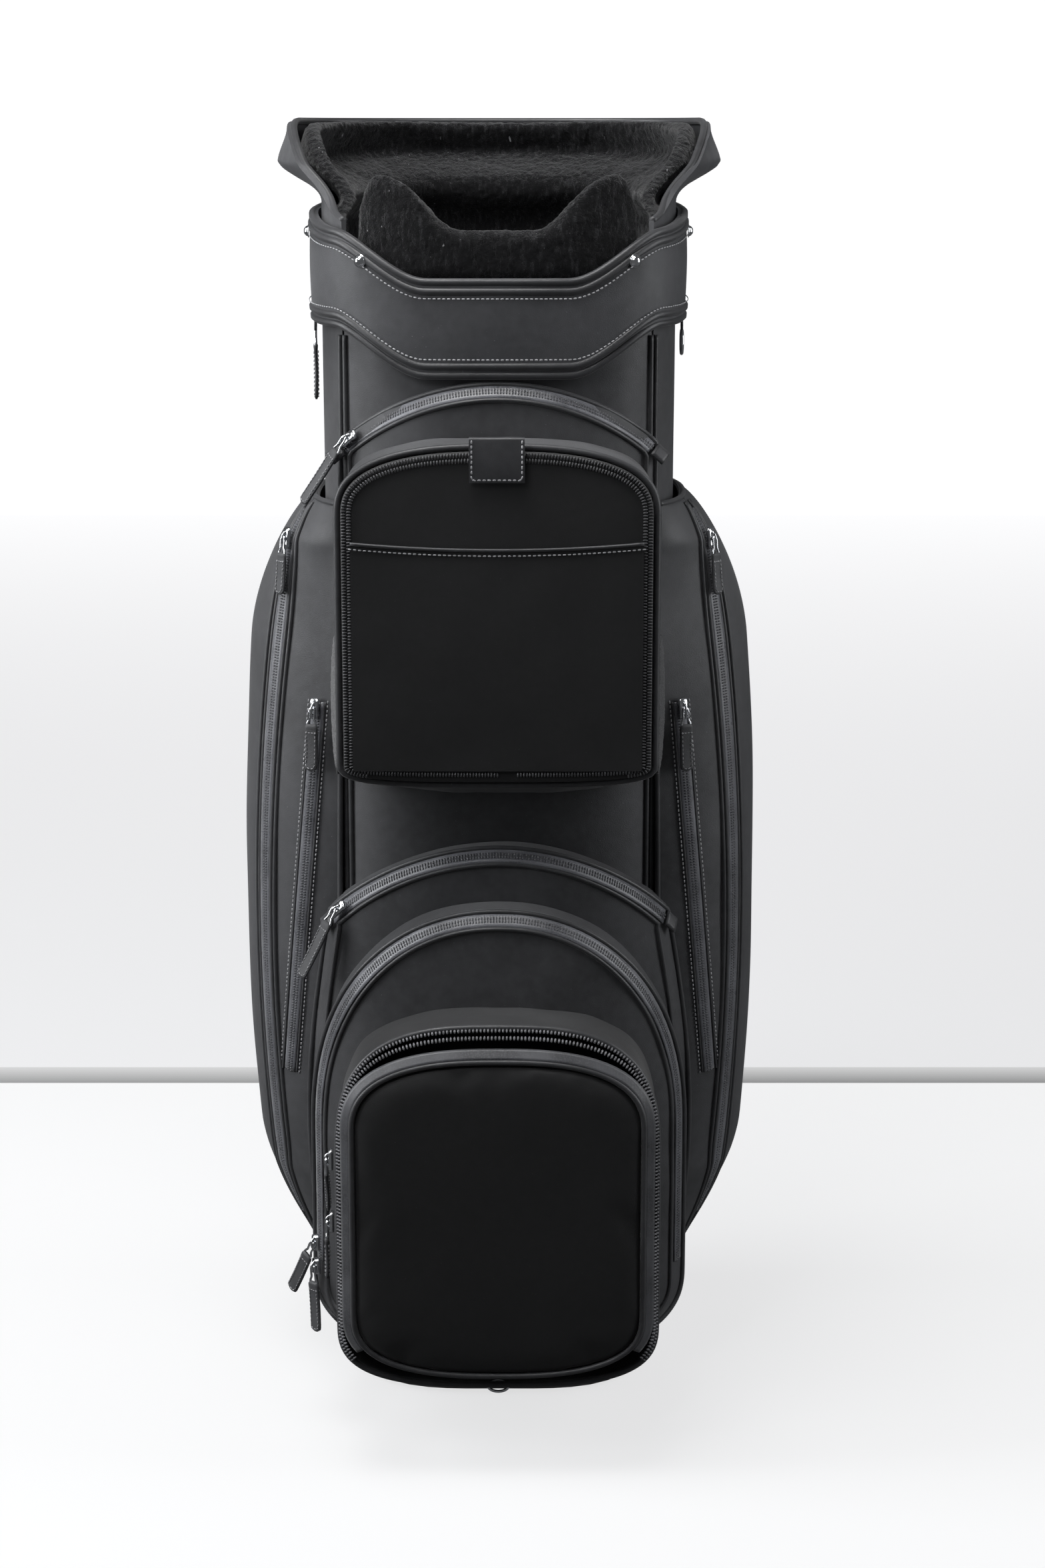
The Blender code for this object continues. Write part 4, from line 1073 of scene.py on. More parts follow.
def make_side_pockets():
    edge = SEAM + 1.2
    for side, word in ((-1.0, "left"), (1.0, "right")):
        for half, first, last, columns in (("front", edge, ZIP_ANGLE - 0.25, 22),
                                           ("rear", ZIP_ANGLE + 0.25, 180.0 - edge, 44)):
            def at(u, v):
                share = u if side > 0 else 1.0 - u
                z = SIDE_LOW + (SIDE_HIGH - SIDE_LOW) * (0.5 * v + 0.25 - 0.25 * math.cos(math.pi * v))
                return side_point(side, first + (last - first) * share, z)

            mesh = grid("side", at, columns, 110, 0.0022, creases(0.0013, 17.0, (1.0, 1.0, 0.55)))
            piece(f"side_{half}_{word}_leather", mesh, LEATHER, "bag", "leatherette",
                  f"side_pocket_{half}_{word}")
        heights = spread(0.128, 0.676 - 0.128, 90)
        path = [side_point(side, ZIP_ANGLE, z, 0.0004) for z in heights]
        outs = [side_out(side, ZIP_ANGLE, z) for z in heights]
        zip_band(f"side_zip_{word}", path, outs, 0.0125)
        lines = []
        for shift in (-2.15, 2.15, 3.5, -3.3):
            lines.append([side_point(side, ZIP_ANGLE + shift, z, 0.0006)
                          for z in spread(SIDE_LOW + 0.004, SIDE_HIGH - SIDE_LOW - 0.008, 110)])
        piping(f"side_zip_piping_{word}", lines, 0.0017)
        rims = []
        for angle in (edge, 180.0 - edge):
            rims.append([side_point(side, angle, z)
                         for z in spread(SIDE_LOW, SIDE_HIGH - SIDE_LOW, 110)])
        for z in (SIDE_LOW + 0.001, SIDE_HIGH - 0.001):
            rims.append([side_point(side, angle, z) for angle in spread(edge, 180.0 - 2 * edge, 40)])
        piping(f"side_edge_piping_{word}", rims, 0.0020)
        places = [(SLANT_ZIP_TOP + 0.0265 * (0.53 - z) / 0.287, z)
                  for z in spread(0.538, 0.250 - 0.538, 50)]
        outs = [front_face_out(side, x, z) for x, z in places]

        def beside(shift, lift):
            return [front_face_point(side, x + shift, z) + out * lift
                    for (x, z), out in zip(places, outs)]

        zip_band(f"slant_zip_{word}", beside(0.0, 0.0005), outs, 0.0105)
        rows = [stitch_items(beside(shift, 0.0008), outs[25]) for shift in (-0.0074, 0.0074)]
        stitches(f"slant_zip_stitches_{word}", rows)
        welts = [beside(shift, 0.0008) for shift in (-0.0056, 0.0056)]
        piping(f"slant_zip_welts_{word}", welts, 0.0010)


# ---- front pockets ------------------------------------------------------------------------------


def pocket_mesh(name, outer, inner, back, front, puff, wall=0.0022):
    """Gusset, zip chamfer and softly crowned face of a pocket."""
    centre_z = sum(z for _, z in inner) / len(inner)
    rear = [back(x, z) for x, z in outer]
    shoulder = [min(front(x, z) + CHAMFER, b - 0.001) for (x, z), b in zip(outer, rear)]
    rings = []
    for share in (0.0, 0.25, 0.5, 0.75, 1.0):
        rings.append([Vector((x, b + (s - b) * share, z))
                      for (x, z), b, s in zip(outer, rear, shoulder)])
    for share in (1.0, 0.985, 0.94, 0.86, 0.76, 0.64, 0.50, 0.36, 0.22, 0.08):
        swell = puff * (1.0 - share**4) if share < 1.0 else 0.0
        ring = []
        for x, z in inner:
            a, b = x * share, centre_z + (z - centre_z) * share
            ring.append(Vector((a, front(a, b) - swell, b)))
        rings.append(ring)
    mesh = rings_mesh(name, rings, last_cap=True)
    displace(mesh, creases(0.0009, 24.0))
    return thicken(mesh, wall)


def chamfer_path(outer, inner, front, first, last):
    """The middle of a pocket's zip chamfer and its outward directions, between two points."""
    path, slopes = [], []
    count = len(outer)
    for k in range(first, last + 1):
        (ox, oz), (ix, iz) = outer[k % count], inner[k % count]
        a = Vector((ox, front(ox, oz) + CHAMFER, oz))
        b = Vector((ix, front(ix, iz), iz))
        path.append(0.5 * (a + b))
        slopes.append(a - b)
    found = []
    for slope, way in zip(slopes, tangents(path)):
        out = way.cross(slope).normalized()
        if out.y > 0.0:
            out = -out
        found.append(out)
    return path, found


def outline_path(outline, y_at):
    return [Vector((x, y_at(x, z), z)) for x, z in outline]


def arc_range(outline, low_z):
    """First and last points of the outline's upper part, above this height."""
    above = [k for k, (_, z) in enumerate(outline) if z >= low_z]
    return above[0], above[-1]


def make_front_pockets():
    for name, node, outline, back, front, low_z, puff in (
        ("upper", "upper_pocket", upper_outline, rim_on_body, upper_front, 0.7265, 0.0010),
        ("lower", "lower_pocket_rear", lower_outline, rim_on_body, lower_front, 0.3845, 0.0010),
        ("middle", "lower_pocket_middle", middle_outline, rim_on_lower, middle_front, 0.122, 0.0015),
    ):
        outer, inner = outline(0.0), outline(CHAMFER)
        mesh = pocket_mesh(name, outer, inner, back, front, puff)
        piece(f"{name}_pocket_leather", mesh, LEATHER, "bag", "leatherette", node)
        first, last = arc_range(outer, low_z)
        path, outs = chamfer_path(outer, inner, front, first, last)
        zip_band(f"{name}_zip", [p + o * 0.0004 for p, o in zip(path, outs)], outs, 0.0118)
        welt = outline_path(outer, lambda x, z: front(x, z) + CHAMFER - 0.0006)
        base = outline_path(inner, lambda x, z: front(x, z) - 0.0004)
        piping(f"{name}_pocket_piping", [welt], 0.0022, closed=True)
        piping(f"{name}_pocket_inner_piping", [base], 0.0016, closed=True)
        if name != "middle":
            for end, k, sign in (("left", -1, -1.0), ("right", 0, 1.0)):
                start = path[k] + outs[k] * 0.0012
                way = tangents(path)[k]
                tip = [start - way * (0.013 - 0.0022 * s) * sign for s in range(6)]
                patch = ribbon_mesh(tip, [outs[k]] * 6, 0.0125, 0.0016, 0.0004)
                piece(f"{name}_zip_end_{end}", patch, LEATHER_EDGE, "bag", "leatherette")


def door_mesh(name, outline, back, thick, crown, soft, shares):
    """A padded door: flat back, rolled side and crowned face."""
    low = min(z for _, z in outline)
    high = max(z for _, z in outline)
    centre_z = 0.5 * (low + high)

    def ring(share, y):
        return [Vector((x * share, y, centre_z + (z - centre_z) * share)) for x, z in outline]

    rings = [ring(0.5, back), ring(0.97, back), ring(1.0, back - 0.001)]
    roll = soft * 0.1
    for k in range(1, 7):
        turn = 0.5 * math.pi * k / 6
        y = back - thick + roll - roll * math.sin(turn)
        rings.append(ring(1.0 - soft * (1.0 - math.cos(turn)), y))
    for share in shares:
        rings.append(ring(share * (1.0 - soft), back - thick - crown * (1.0 - share**3)))
    return rings_mesh(name, rings, first_cap=True, last_cap=True)


def box_gusset(name, outline, back, front_y, sag=0.0):
    """An open box's walls, with its bottom sloping down towards the back."""
    low = min(z for _, z in outline)
    rings = []
    for share in (0.0, 0.15, 0.35, 0.55, 0.75, 0.9, 1.0):
        ring = []
        for x, z in outline:
            y = back(x, z) + (front_y - back(x, z)) * share
            drop = sag * (1.0 - share) * smooth_step(low + 0.030, low, z)
            ring.append(Vector((x, y, z - drop)))
        rings.append(ring)
    mesh = rings_mesh(name, rings)
    displace(mesh, creases(0.0012, 40.0, (1.0, 0.5, 1.0)))
    return thicken(mesh, 0.0022)


def back_lining(name, floor, back, centre_z):
    """A thin lining in front of the face that an open pocket is sewn to."""
    rings = [[Vector((x * s, back(x * s, z) - SEWN, centre_z + (z - centre_z) * s)) for x, z in floor]
             for s in (1.0, 0.8, 0.6, 0.4, 0.2, 0.05)]
    mesh = thicken(rings_mesh("floor", rings, last_cap=True), 0.0008)
    piece(name, mesh, LINING, "bag", "lining_cloth")


HINGE_TOP = 0.508
TAB_LOW = 0.7140
TAB_HIGH = 0.7432
TAB_HALF = 0.0190
TAB_FOLD = 0.55
PATCH_X = 0.1118
PATCH_FRONT = -0.1850
PATCH_DEPTH = 0.040


def make_cooler():
    outline = cooler_outline(0.0)
    mesh = box_gusset("gusset", outline, rim_on_upper, COOLER_FRONT + 0.0004, 0.018)
    piece("cooler_gusset_leather", mesh, LEATHER, "bag", "leatherette", "cooler_gusset")
    back_lining("cooler_back_lining", cooler_outline(0.0010), rim_on_upper, 0.62)
    front = COOLER_FRONT - 0.007
    rim = outline_path(cooler_outline(0.0006), lambda x, z: COOLER_FRONT - 0.0006)
    piping("cooler_outer_piping", [rim], 0.0026, closed=True)

    door = door_mesh("door", cooler_outline(0.0034), COOLER_FRONT - 0.0006, 0.0064, 0.0012, 0.014,
                     (0.97, 0.92, 0.85, 0.75, 0.62, 0.48, 0.34, 0.2, 0.08))
    panel = piece("cooler_door_leather", door, LEATHER_FACE, "cooler_door", "leatherette", "cooler_door")
    for name, inset, depth in (("outer", 0.0054, -0.0070), ("inner", 0.0092, -0.0078)):
        path = outline_path(cooler_outline(inset), lambda x, z: COOLER_FRONT + depth)
        path.append(path[0].copy())
        path = [p for p in path if p.z > HINGE_TOP]
        start = max(range(len(path)), key=lambda k: (path[k] - path[k - 1]).length)
        path = path[start:] + path[:start]
        items = coil_items(path, [FORWARD] * len(path), 0.0, 0.0032, 0.0021, 0.0018)
        piece(f"cooler_coil_{name}", bars("coil", items), COIL_DARK, "cooler_door", "zip_tape")

    half = 0.101
    low, high = 0.512, 0.672

    def slip(u, v):
        x = -half + 2.0 * half * u
        dip = 0.0046 * (1.0 - (2.0 * u - 1.0) ** 2) * v**3
        belly = 0.0012 * math.sin(math.pi * u) * math.sin(math.pi * v)
        return Vector((x, front - 0.0024 - belly - 0.0008 * v, low + (high - low) * v - dip))

    mesh = grid("slip", slip, 60, 46, 0.0012, creases(0.0005, 26.0))
    piece("cooler_slip_leather", mesh, LEATHER_FACE, "cooler_door", "leatherette", "cooler_slip_pocket")
    hem = [slip(k / 50, 1.0) + Vector((0.0, -0.0004, 0.0)) for k in range(51)]
    piping("cooler_slip_hem", [hem], 0.0012, "cooler_door")
    row = [slip(k / 50, 1.0) + Vector((0.0, -0.0005, -0.0038)) for k in range(51)]
    stitches("cooler_slip_stitches", [stitch_items(row, FORWARD)], "cooler_door")

    def tab(u, v):
        """A folded strap end that laps over the door's top edge."""
        x = -TAB_HALF + 2.0 * TAB_HALF * u
        if v < TAB_FOLD:
            z = TAB_LOW + (TAB_HIGH - TAB_LOW) * v / TAB_FOLD
            y = front - 0.0046 - 0.0010 * math.sin(math.pi * v / TAB_FOLD)
        else:
            turn = math.pi * (v - TAB_FOLD) / (1.0 - TAB_FOLD)
            y = front - 0.0046 + 0.00224 * (1.0 - math.cos(turn))
            z = TAB_HIGH + 0.0016 * math.sin(turn)
        return Vector((x, y, z))

    mesh = grid("tab", tab, 20, 30, 0.0016, creases(0.0004, 60.0))
    piece("cooler_tab_leather", mesh, LEATHER_EDGE, "cooler_door", "leatherette", "cooler_top_tab")
    edge = [Vector((x, front - 0.0062, z)) for x, z in
            ((-0.0172, 0.742), (-0.0172, 0.7160), (0.0172, 0.7160), (0.0172, 0.742))]
    stitches("cooler_tab_stitches", [stitch_items(edge, FORWARD, 0.0034, 0.0024)], "cooler_door")

    for side, word in ((-1.0, "left"), (1.0, "right")):
        rings = []
        for k in range(61):
            v = k / 60
            z = 0.5070 + 0.092 * v
            full = math.sin(math.pi * (0.06 + 0.88 * v)) ** 0.4
            ring = [Vector((side * PATCH_X, PATCH_FRONT, z))]
            for j in range(25):
                u = j / 24
                stand = 0.0016 + 0.0052 * smooth_step(0.0, 0.8, u) * full
                ring.append(Vector((side * (PATCH_X + stand), PATCH_FRONT + PATCH_DEPTH * u, z)))
            ring.append(Vector((side * PATCH_X, PATCH_FRONT + PATCH_DEPTH, z)))
            rings.append(ring)
        mesh = rings_mesh("nap", rings, first_cap=True, last_cap=True)
        displace(mesh, lambda co: 0.0006 * noise.noise(co * 900.0))
        piece(f"hook_patch_nap_{word}", mesh, LOOPS, "bag", "hook_and_loop", f"hook_patch_{word}")


def make_ball_pocket():
    outline = ball_outline(0.0)
    mesh = box_gusset("gusset", outline, rim_on_middle, BALL_FRONT + 0.0004)
    piece("ball_gusset_leather", mesh, LEATHER_SIDE, "bag", "leatherette", "ball_gusset")
    back_lining("ball_back_lining", ball_outline(0.0010), rim_on_middle, 0.20)
    rim = outline_path(ball_outline(0.0008), lambda x, z: BALL_FRONT - 0.0002)
    piping("ball_outer_piping", [rim], 0.0024, closed=True)
    inner = ball_door_outline(0.0)

    def strip(share, lift):
        """A line between the gusset's rim (0) and the door's edge (1), open at the bottom."""
        path = []
        for (ox, oz), (ix, iz) in zip(outline, inner):
            if oz >= 0.086:
                x, z = ox + (ix - ox) * share, oz + (iz - oz) * share
                path.append(Vector((x, BALL_FRONT - 0.0012 - 0.0085 * share - lift, z)))
        return path

    slope = [Vector((p.x, 0.0, p.z - 0.19)).normalized() * 0.62 + Vector((0.0, -0.78, 0.0))
             for p in strip(0.5, 0.0)]
    tape = ribbon_mesh(strip(0.95, 0.0), slope, 0.0088, 0.0007)
    piece("ball_zip_tape", tape, TAPE_DARK, "ball_door", "zip_tape")
    items = coil_items(strip(0.38, 0.0010), slope, 0.0, 0.0034, 0.0026, 0.0022)
    piece("ball_zip_coil_inner", bars("coil", items), COIL_BALL, "ball_door", "zip_tape")
    items = coil_items(strip(0.13, 0.0004), slope, 0.0, 0.0030, 0.0026, 0.0020)
    piece("ball_zip_coil_outer", bars("coil", items), COIL_BALL, "bag", "zip_tape")

    mesh = door_mesh("door", ball_door_outline(0.0022), BALL_FRONT - 0.0006, 0.0125, 0.0020, 0.052,
                     (0.97, 0.90, 0.80, 0.68, 0.54, 0.40, 0.26, 0.12))
    padded_piece("ball_door_leather", mesh, LEATHER_FACE, "ball_door",
                 0.0042, 0.0024, ("ball_door",), creases(0.0006, 15.0))
    line = outline_path(ball_door_outline(0.0040), lambda x, z: BALL_FRONT - 0.0118)
    piping("ball_door_piping", [line], 0.0021, "ball_door", closed=True)
    for side, word in ((-1.0, "left"), (1.0, "right")):
        path = [Vector((side * (0.012 + 0.030 * k / 10), -0.2290, 0.0656 + 0.0002 * k))
                for k in range(11)]
        zip_band(f"bottom_zip_{word}", path, [Vector((0.0, -0.30, -0.95))] * 11, 0.008)
    clip = [Vector((0.0075 * math.cos(a), -0.2310, 0.0640 + 0.0045 * math.sin(a))) for a in turns(24)]
    piece("bottom_clip", tube(clip, 0.0011, True, 0.0012), CHROME, "bag", "chrome")


# ---- zips' sliders and pulls --------------------------------------------------------------------


def frame_at(point, across, way, out):
    """The placement whose x, y and z axes are these three directions."""
    return Matrix.Translation(point) @ Matrix((across, way, out)).transposed().to_4x4()


def pull_frames(point, way, out, swing):
    """Placements of a slider and of its pull, which hangs down and leans by the swing."""
    out = (out - out.dot(way) * way).normalized()
    seat = point + out * 0.005
    slider = frame_at(seat, way.cross(out), way, out)
    down = -UP
    hang = (down - down.dot(out) * out).normalized()
    hang = Matrix.Rotation(math.radians(swing), 3, out) @ hang
    return slider, frame_at(seat + out * 0.0035, hang.cross(out), hang, out)


def arc_track(apex, half_width, front):
    """Three points on an arch zip's line, and the outward direction at the first."""
    middle = ARCH_RADIUS - CHAMFER / 2.0
    centre = apex - ARCH_RADIUS
    end = math.asin(half_width / ARCH_RADIUS) * 0.93
    points = []
    for turn in (-end, 0.0, end):
        x, z = middle * math.sin(turn), centre + middle * math.cos(turn)
        share = (ARCH_RADIUS - CHAMFER) / middle
        y = front(x * share, centre + (z - centre) * share) + CHAMFER / 2.0
        points.append(Vector((x, y, z)))
    return points, Vector((-math.sin(end), -1.0, math.cos(end))).normalized()


def zips():
    """Name, place, direction, outward direction, pull length and lean in degrees of each slider."""
    found = []
    for name, apex, half, front, swing in (
        ("upper", UPPER_APEX, UPPER_HALF, upper_front, -27.0),
        ("lower", LOWER_APEX, LOWER_HALF, lower_front, -17.0),
    ):
        points, out = arc_track(apex, half, front)
        centre, axis, _ = circle_through(*points)
        found.append((name, points[0], axis.cross(points[0] - centre).normalized(), out, 0.058, swing))
    leg_x = 0.132
    leg_y = middle_front(leg_x - CHAMFER / 2.0, 0.2) + CHAMFER / 2.0
    leg_out = Vector((-1.0, -1.0, 0.0)).normalized()
    found.append(("middle_a", Vector((-leg_x, leg_y, 0.1450)), UP, leg_out, 0.050, -30.0))
    found.append(("middle_b", Vector((-leg_x, leg_y, 0.1265)), -UP, leg_out, 0.050, 3.0))
    left = Vector((-1.0, 0.0, 0.0))
    ball_side = Vector((-0.114, -0.223, 0.0))
    found.append(("ball_a", ball_side + 0.234 * UP, -UP, left, 0.050, -26.0))
    found.append(("ball_b", ball_side + 0.187 * UP, -UP, left, 0.042, 4.0))
    for side, word in ((-1.0, "left"), (1.0, "right")):
        top = (SLANT_ZIP_TOP, 0.533)
        points = [front_face_point(side, *place) for place in (top, (0.1475, 0.390))]
        way = (points[1] - points[0]).normalized()
        found.append((f"slant_{word}", points[0], way, front_face_out(side, *top), 0.046, 0.0))
        points = [Vector((side * p.x, p.y, p.z)) for p in ZIP_POINTS]
        way = (points[1] - points[0]).normalized()
        ahead = polar(ZIP_ANGLE + 1.0, side_radius(ZIP_ANGLE + 1.0, ZIP_HEIGHTS[1]), 0.0)
        behind = polar(ZIP_ANGLE - 1.0, side_radius(ZIP_ANGLE - 1.0, ZIP_HEIGHTS[1]), 0.0)
        out = (ahead - behind).cross(UP).normalized()
        found.append((f"side_{word}", points[0], way, Vector((side * out.x, out.y, out.z)), 0.042, 0.0))
    return found


def lofted_slider(place, long):
    """A slider body: a waisted, crowned shell with two shoulders and the bridge that holds the pull."""
    rings = []
    for k in range(13):
        s = -1.0 + 2.0 * k / 12
        half = 0.0045 * (0.80 + 0.20 * s * s) * math.sqrt(max(1.0 - abs(s) ** 9, 0.10))
        top = 0.0020 * math.sqrt(max(1.0 - abs(s) ** 6, 0.05))
        ring = []
        for a in turns(16):
            z = blunt(math.sin(a), 0.7) * (top if math.sin(a) > 0 else 0.0017)
            ring.append(place @ Vector((half * blunt(math.cos(a), 0.55), 0.5 * long * s, z)))
        rings.append(ring)
    body = rings_mesh("slider", rings, True, True, True)
    arch_points = [place @ Vector((0.0, 0.0046 * math.cos(a), 0.0008 + 0.0036 * math.sin(a)))
                   for a in spread(0.0, math.pi, 14)]
    bridge = tube(arch_points, 0.0009, False, 0.0008, 10)
    return merge("slider", [body, bridge])


def bail_path(place):
    """The wire bail that joins the slider's bridge to the strip."""
    shape = ((-0.0016, -0.0004), (-0.0024, 0.0020), (-0.0021, 0.0075), (-0.0036, 0.0105), (-0.0038, 0.0125),
             (-0.0026, 0.0136), (0.0026, 0.0136), (0.0038, 0.0125), (0.0036, 0.0105), (0.0021, 0.0075),
             (0.0024, 0.0020), (0.0016, -0.0004), (0.0, -0.0010))
    return [place @ Vector((x, y, 0.0)) for x, y in shape]


def strip_mesh(place, length):
    """The leather tab: two layers, with soft edges, round ends and a fold over the bail."""
    start = 0.0112
    corner = 0.0034
    rings = []
    for k in range(25):
        s = k / 24
        y = start + (length - start) * s
        end = min(s * (length - start), (1.0 - s) * (length - start))
        half = 0.00525
        if end < corner:
            cut = 1.0 - math.sqrt(max(1.0 - (1.0 - end / corner) ** 2, 0.0))
            half -= corner * cut * (1.0 if s > 0.5 else 0.45)
        thick = 0.0012 if end > 0.0005 else 0.0007
        thick += 0.0005 * (1.0 - smooth_step(0.0, 0.16, s))
        wave = 0.0003 * math.sin(5.0 * s + 40.0 * length)
        rings.append([place @ Vector((half * blunt(math.cos(a), 0.5), y,
                                      wave + thick * blunt(math.sin(a), 0.6)))
                      for a in turns(14)])
    return rings_mesh("strip", rings, True, True, True)


def strip_stitches(place, length):
    """Stitches round the tab, on both faces, and one row across under the fold."""
    items = []
    half = 0.0038
    out = (place.to_3x3() @ UP).normalized()
    for face in (-1.0, 1.0):
        lift = face * 0.00122
        shape = [(-half, 0.0175), (-half, length - 0.0042), (-half + 0.0016, length - 0.0020),
                 (half - 0.0016, length - 0.0020), (half, length - 0.0042), (half, 0.0175)]
        line = [place @ Vector((x, y, lift)) for x, y in shape]
        items += stitch_items(line, out * face, 0.0030, 0.0021, 0.0006)
        cross = [place @ Vector((x, 0.0175, lift)) for x in (-half, half)]
        items += stitch_items(cross, out * face, 0.0025, 0.0018, 0.0006)
    return items


def make_pull(name, place, length, body, node):
    piece(f"{name}_bail", tube(bail_path(place), 0.00085, True, 0.0009, 8), CHROME, body, "chrome")
    piece(f"{name}_strip", strip_mesh(place, length), LEATHER, body, "leatherette", node)
    piece(f"{name}_stitches", bars("stitches", strip_stitches(place, length)), THREAD, body, "thread")


def make_zips():
    for name, point, way, out, length, swing in zips():
        slider, pull = pull_frames(point, way, out, swing)
        long = 0.013 if name.startswith("middle") else 0.016
        piece(f"slider_{name}_metal", lofted_slider(slider, long), CHROME, f"slider_{name}", "chrome",
              f"zip_slider_{name}")
        make_pull(f"pull_{name}", pull, length, f"pull_{name}", f"zip_pull_{name}")


# ---- handle and hanging rings -------------------------------------------------------------------


def make_handle():
    start = HALF_DEPTH + 0.0012
    corners = ((0.0, 0.700), (0.018, 0.698), (0.035, 0.688), (0.045, 0.665),
               (0.045, 0.575), (0.035, 0.552), (0.018, 0.542), (0.0, 0.540))
    coarse = [Vector((0.0, start + y, z)) for y, z in corners]
    path = []
    for k in range(len(coarse) - 1):
        p0, p1, p2, p3 = (coarse[min(max(k + step, 0), len(coarse) - 1)] for step in (-1, 0, 1, 2))
        for j in range(8):
            t = j / 8
            path.append(0.5 * ((2.0 * p1) + (p2 - p0) * t + (2.0 * p0 - 5.0 * p1 + 4.0 * p2 - p3) * t * t
                               + (3.0 * p1 - p0 - 3.0 * p2 + p3) * t**3))
    path.append(coarse[-1])
    rings = []
    points = along(path, 0.003)
    count = len(points)
    for k, (point, way) in enumerate(zip(points, tangents(points))):
        s = k / (count - 1)
        radius = 0.0070 + 0.0030 * smooth_step(0.10, 0.26, s) * smooth_step(0.90, 0.74, s)
        side = Vector((1.0, 0.0, 0.0))
        lift = side.cross(way)
        rings.append([point + radius * (1.15 * math.cos(a) * side + 0.82 * math.sin(a) * lift)
                      for a in turns(20)])
    mesh = rings_mesh("handle", rings, True, True, True)
    displace(mesh, creases(0.0003, 70.0))
    handle = piece("rear_handle_leather", merge("handle", [mesh]), LEATHER, "bag", "leatherette",
                   "rear_handle")
    rows = []
    for side in (-1.0, 1.0):
        line = [p + Vector((side * 0.0066, 0.0058, 0.0)) for p in points[count // 4 : 3 * count // 4]]
        rows.append(stitch_items(line, Vector((side * 0.6, 0.8, 0.0))))
    stitches("rear_handle_stitches", rows)


def make_hangers():
    x = trunk_radius(80.0) * math.sin(math.radians(80.0)) + 0.005
    y = -trunk_radius(80.0) * math.cos(math.radians(80.0))
    down = -UP
    out = Vector((-1.0, 0.0, 0.0))
    make_pull("collar_pull", frame_at(Vector((-x, y, 0.8065)), down.cross(out), down, out), 0.052,
              "collar_pull", "collar_pull_left")
    ring = [Vector((x, y + 0.0085 * math.sin(a), 0.7965 + 0.0085 * math.cos(a)))
            for a in turns(48)]
    piece("collar_ring_metal", tube(ring, 0.0013, True, 0.0011, 12), CHROME, "collar_ring", "chrome",
          "collar_ring_right")
    loops = []
    for side in (-1.0, 1.0):
        top = Vector((side * x, y, 0.8085))
        loops.append(tube([top + Vector((0.0, 0.0034 * math.cos(a), 0.0044 * math.sin(a) - 0.0005))
                           for a in turns(20)], 0.0009, True, 0.001))
    piece("collar_hanger_loops", merge("loops", loops), LEATHER_EDGE, "bag", "leatherette")


# ---- studio -------------------------------------------------------------------------------------

STUDIO_HALF = 5.0
STUDIO_TALL = 6.0
# depths in metres of the dark band painted on the floor as the shadow line at the foot of the backdrop
PAINTED_SHADOW_BAND = (0.622, 0.672)


def backdrop(name, low, high, heights):
    """Pale paper that carries some light of its own, evenly graded with height or depth."""
    m = Nodes(name)
    split = m.add("ShaderNodeSeparateXYZ")
    m.link(m.place, split.inputs["Vector"])
    level = m.add("ShaderNodeMapRange")
    axis, first, last = heights
    level.inputs["From Min"].default_value = first
    level.inputs["From Max"].default_value = last
    m.link(split.outputs[axis], level.inputs["Value"])
    grain = m.ramp(m.noise(1.2, 2.0), (0.3, (0.20, 0.20, 0.20)), (0.7, (0.195, 0.195, 0.195)))
    m.colour(grain)
    m.link(m.ramp(level.outputs["Result"], (0.0, low), (1.0, high)), m.shader.inputs["Emission Color"])
    m.shader.inputs["Roughness"].default_value = 0.8
    m.set(Specular_IOR_Level=0.0, Emission_Strength=1.0)
    return m.material


def quad(name, corners, material):
    """A flat piece of the studio, outside the model."""
    mesh = bpy.data.meshes.new(name)
    mesh.from_pydata(corners, [], [(0, 1, 2, 3)])
    made = loose(name, mesh)
    mesh.materials.append(material)
    return made


def light(name, place, target, size, power, colour=(1.0, 1.0, 1.0)):
    data = bpy.data.lights.new(name, "AREA")
    data.shape = "RECTANGLE"
    data.size, data.size_y = size
    data.energy = power
    data.color = colour
    made = bpy.data.objects.new(name, data)
    made.location = place
    made.rotation_euler = (Vector(target) - Vector(place)).to_track_quat("-Z", "Y").to_euler()
    bpy.context.scene.collection.objects.link(made)
    return made


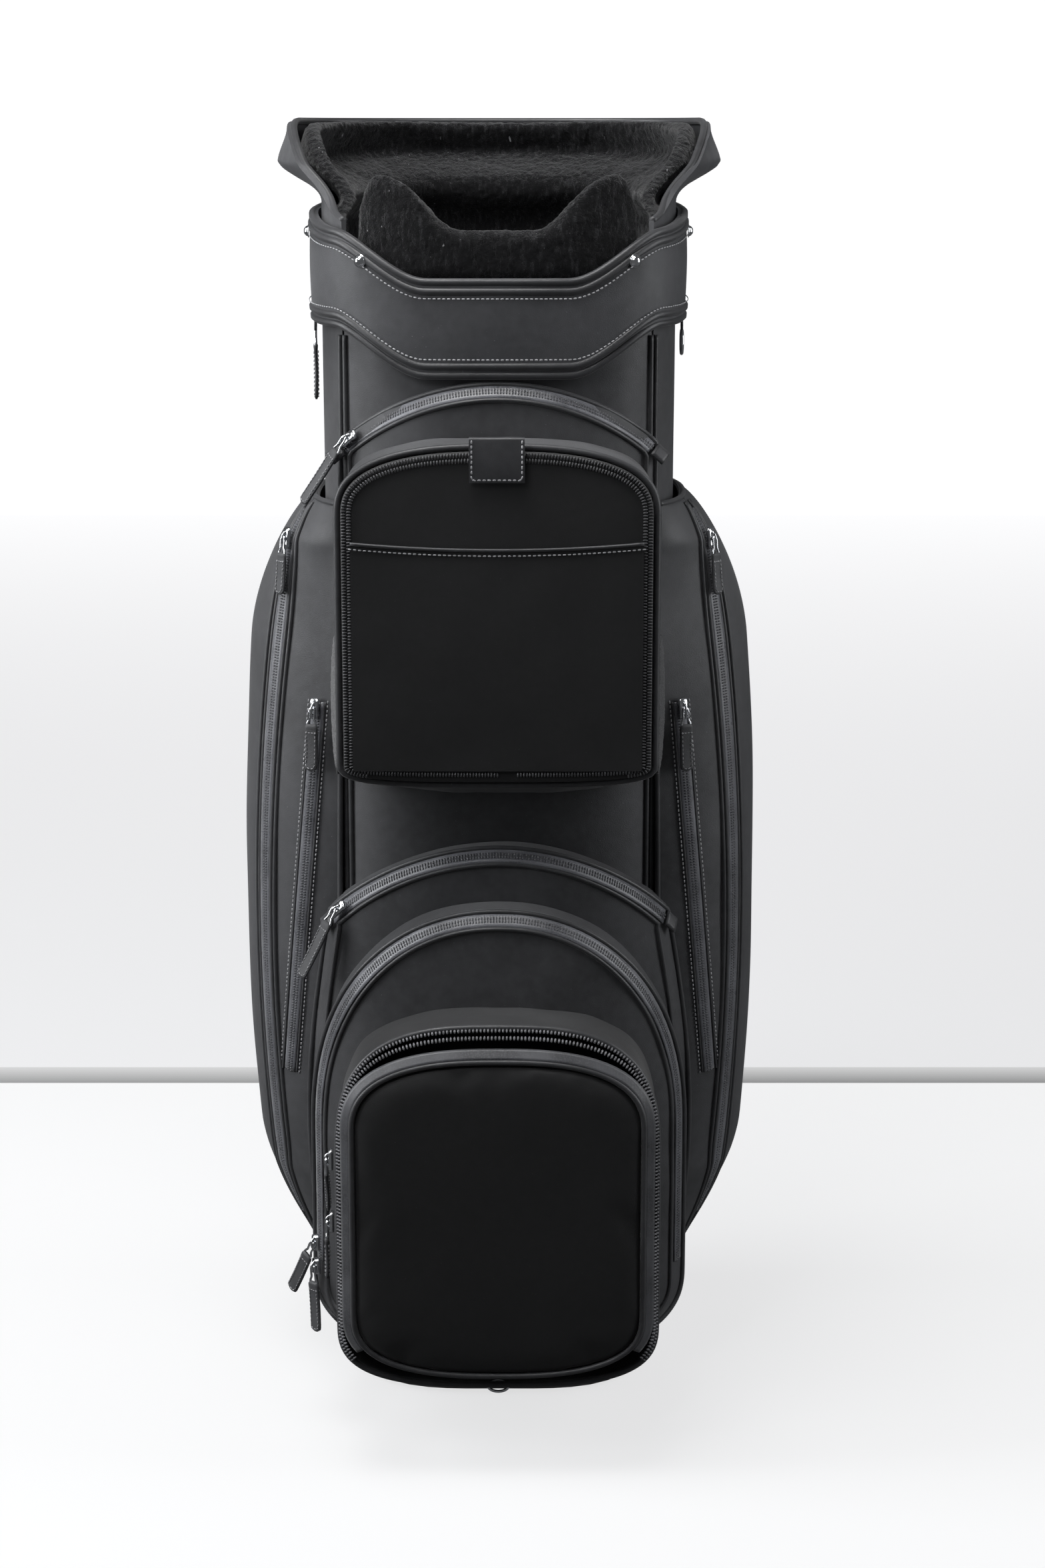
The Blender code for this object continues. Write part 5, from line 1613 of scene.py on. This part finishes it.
def make_studio():
    scene = bpy.context.scene
    near, beyond = PAINTED_SHADOW_BAND
    paper = backdrop("studio_floor_paper", (0.72, 0.72, 0.725), (0.70, 0.70, 0.705),
                     ("Y", -STUDIO_HALF, 0.62))
    # painted light: the far floor glows brighter the further back it lies, standing in for a backdrop lit more
    # strongly towards its top
    far = backdrop("studio_far_paper", (0.62, 0.62, 0.63), (0.96, 0.96, 0.97),
                   ("Y", 0.62, STUDIO_HALF))
    # painted shadow: this dark grey glowing band stands in for the shade line where the backdrop meets the floor
    painted_shadow_line = backdrop("studio_painted_shadow_line", (0.10, 0.10, 0.10), (0.46, 0.46, 0.46), ("Y", near, beyond))
    ring = backdrop("studio_ring_paper", (0.97, 0.97, 0.98), (1.05, 1.05, 1.05), ("Z", 0.0, 2.0))
    half, tall = STUDIO_HALF, STUDIO_TALL
    stages = []
    for name, low, high, material in (
        ("studio_floor", -half, near, paper),
        ("studio_painted_shadow_line", near, beyond, painted_shadow_line),
        ("studio_far_floor", beyond, half, far),
    ):
        flat = [(-half, low, 0.0), (half, low, 0.0), (half, high, 0.0), (-half, high, 0.0)]
        stages.append(quad(name, flat, material))
    corners = [(-half, -half), (half, -half), (half, half), (-half, half)]
    for k in range(4):
        (ax, ay), (bx, by) = corners[k], corners[(k + 1) % 4]
        upright = [(ax, ay, 0.0), (bx, by, 0.0), (bx, by, tall), (ax, ay, tall)]
        stages.append(quad(f"studio_side_{k}", upright, ring))
    # the papers are only seen by the camera: the bag's light comes from the four lamps
    for made in stages:
        made.visible_diffuse = False
        made.visible_glossy = False
    light("key_top", (-0.35, -0.45, 2.5), (0.0, 0.0, 0.7), (1.1, 0.9), 40.0)
    light("side_left", (-1.9, -0.30, 1.25), (0.0, 0.0, 0.5), (0.8, 1.7), 46.0, (0.96, 0.98, 1.0))
    light("side_right", (1.9, -0.30, 1.15), (0.0, 0.0, 0.5), (0.8, 1.7), 22.0, (0.96, 0.98, 1.0))
    light("front_soft", (-1.0, -1.6, 2.1), (0.0, 0.0, 0.95), (0.9, 0.7), 13.0, (0.97, 0.98, 1.0))
    world = bpy.data.worlds.new("studio_world")
    scene.world = world
    world.use_nodes = True
    background = world.node_tree.nodes["Background"]
    background.inputs["Color"].default_value = (0.95, 0.97, 1.0, 1.0)
    background.inputs["Strength"].default_value = 0.10
    scene.view_settings.view_transform = "Standard"
    data = bpy.data.cameras.new("camera")
    data.lens = 65.0
    data.sensor_width = 36.0
    data.sensor_fit = "AUTO"
    camera = bpy.data.objects.new("camera", data)
    camera.location = (0.01748, -2.12742, 0.94815)
    camera.rotation_euler = (math.radians(90.0 - 13.0), 0.0, 0.0)
    scene.collection.objects.link(camera)
    scene.camera = camera


make_trunk()
make_inside()
make_collar()
make_mouth()
make_studs()
make_side_pockets()
make_front_pockets()
make_cooler()
make_ball_pocket()
make_zips()
make_handle()
make_hangers()
make_studio()
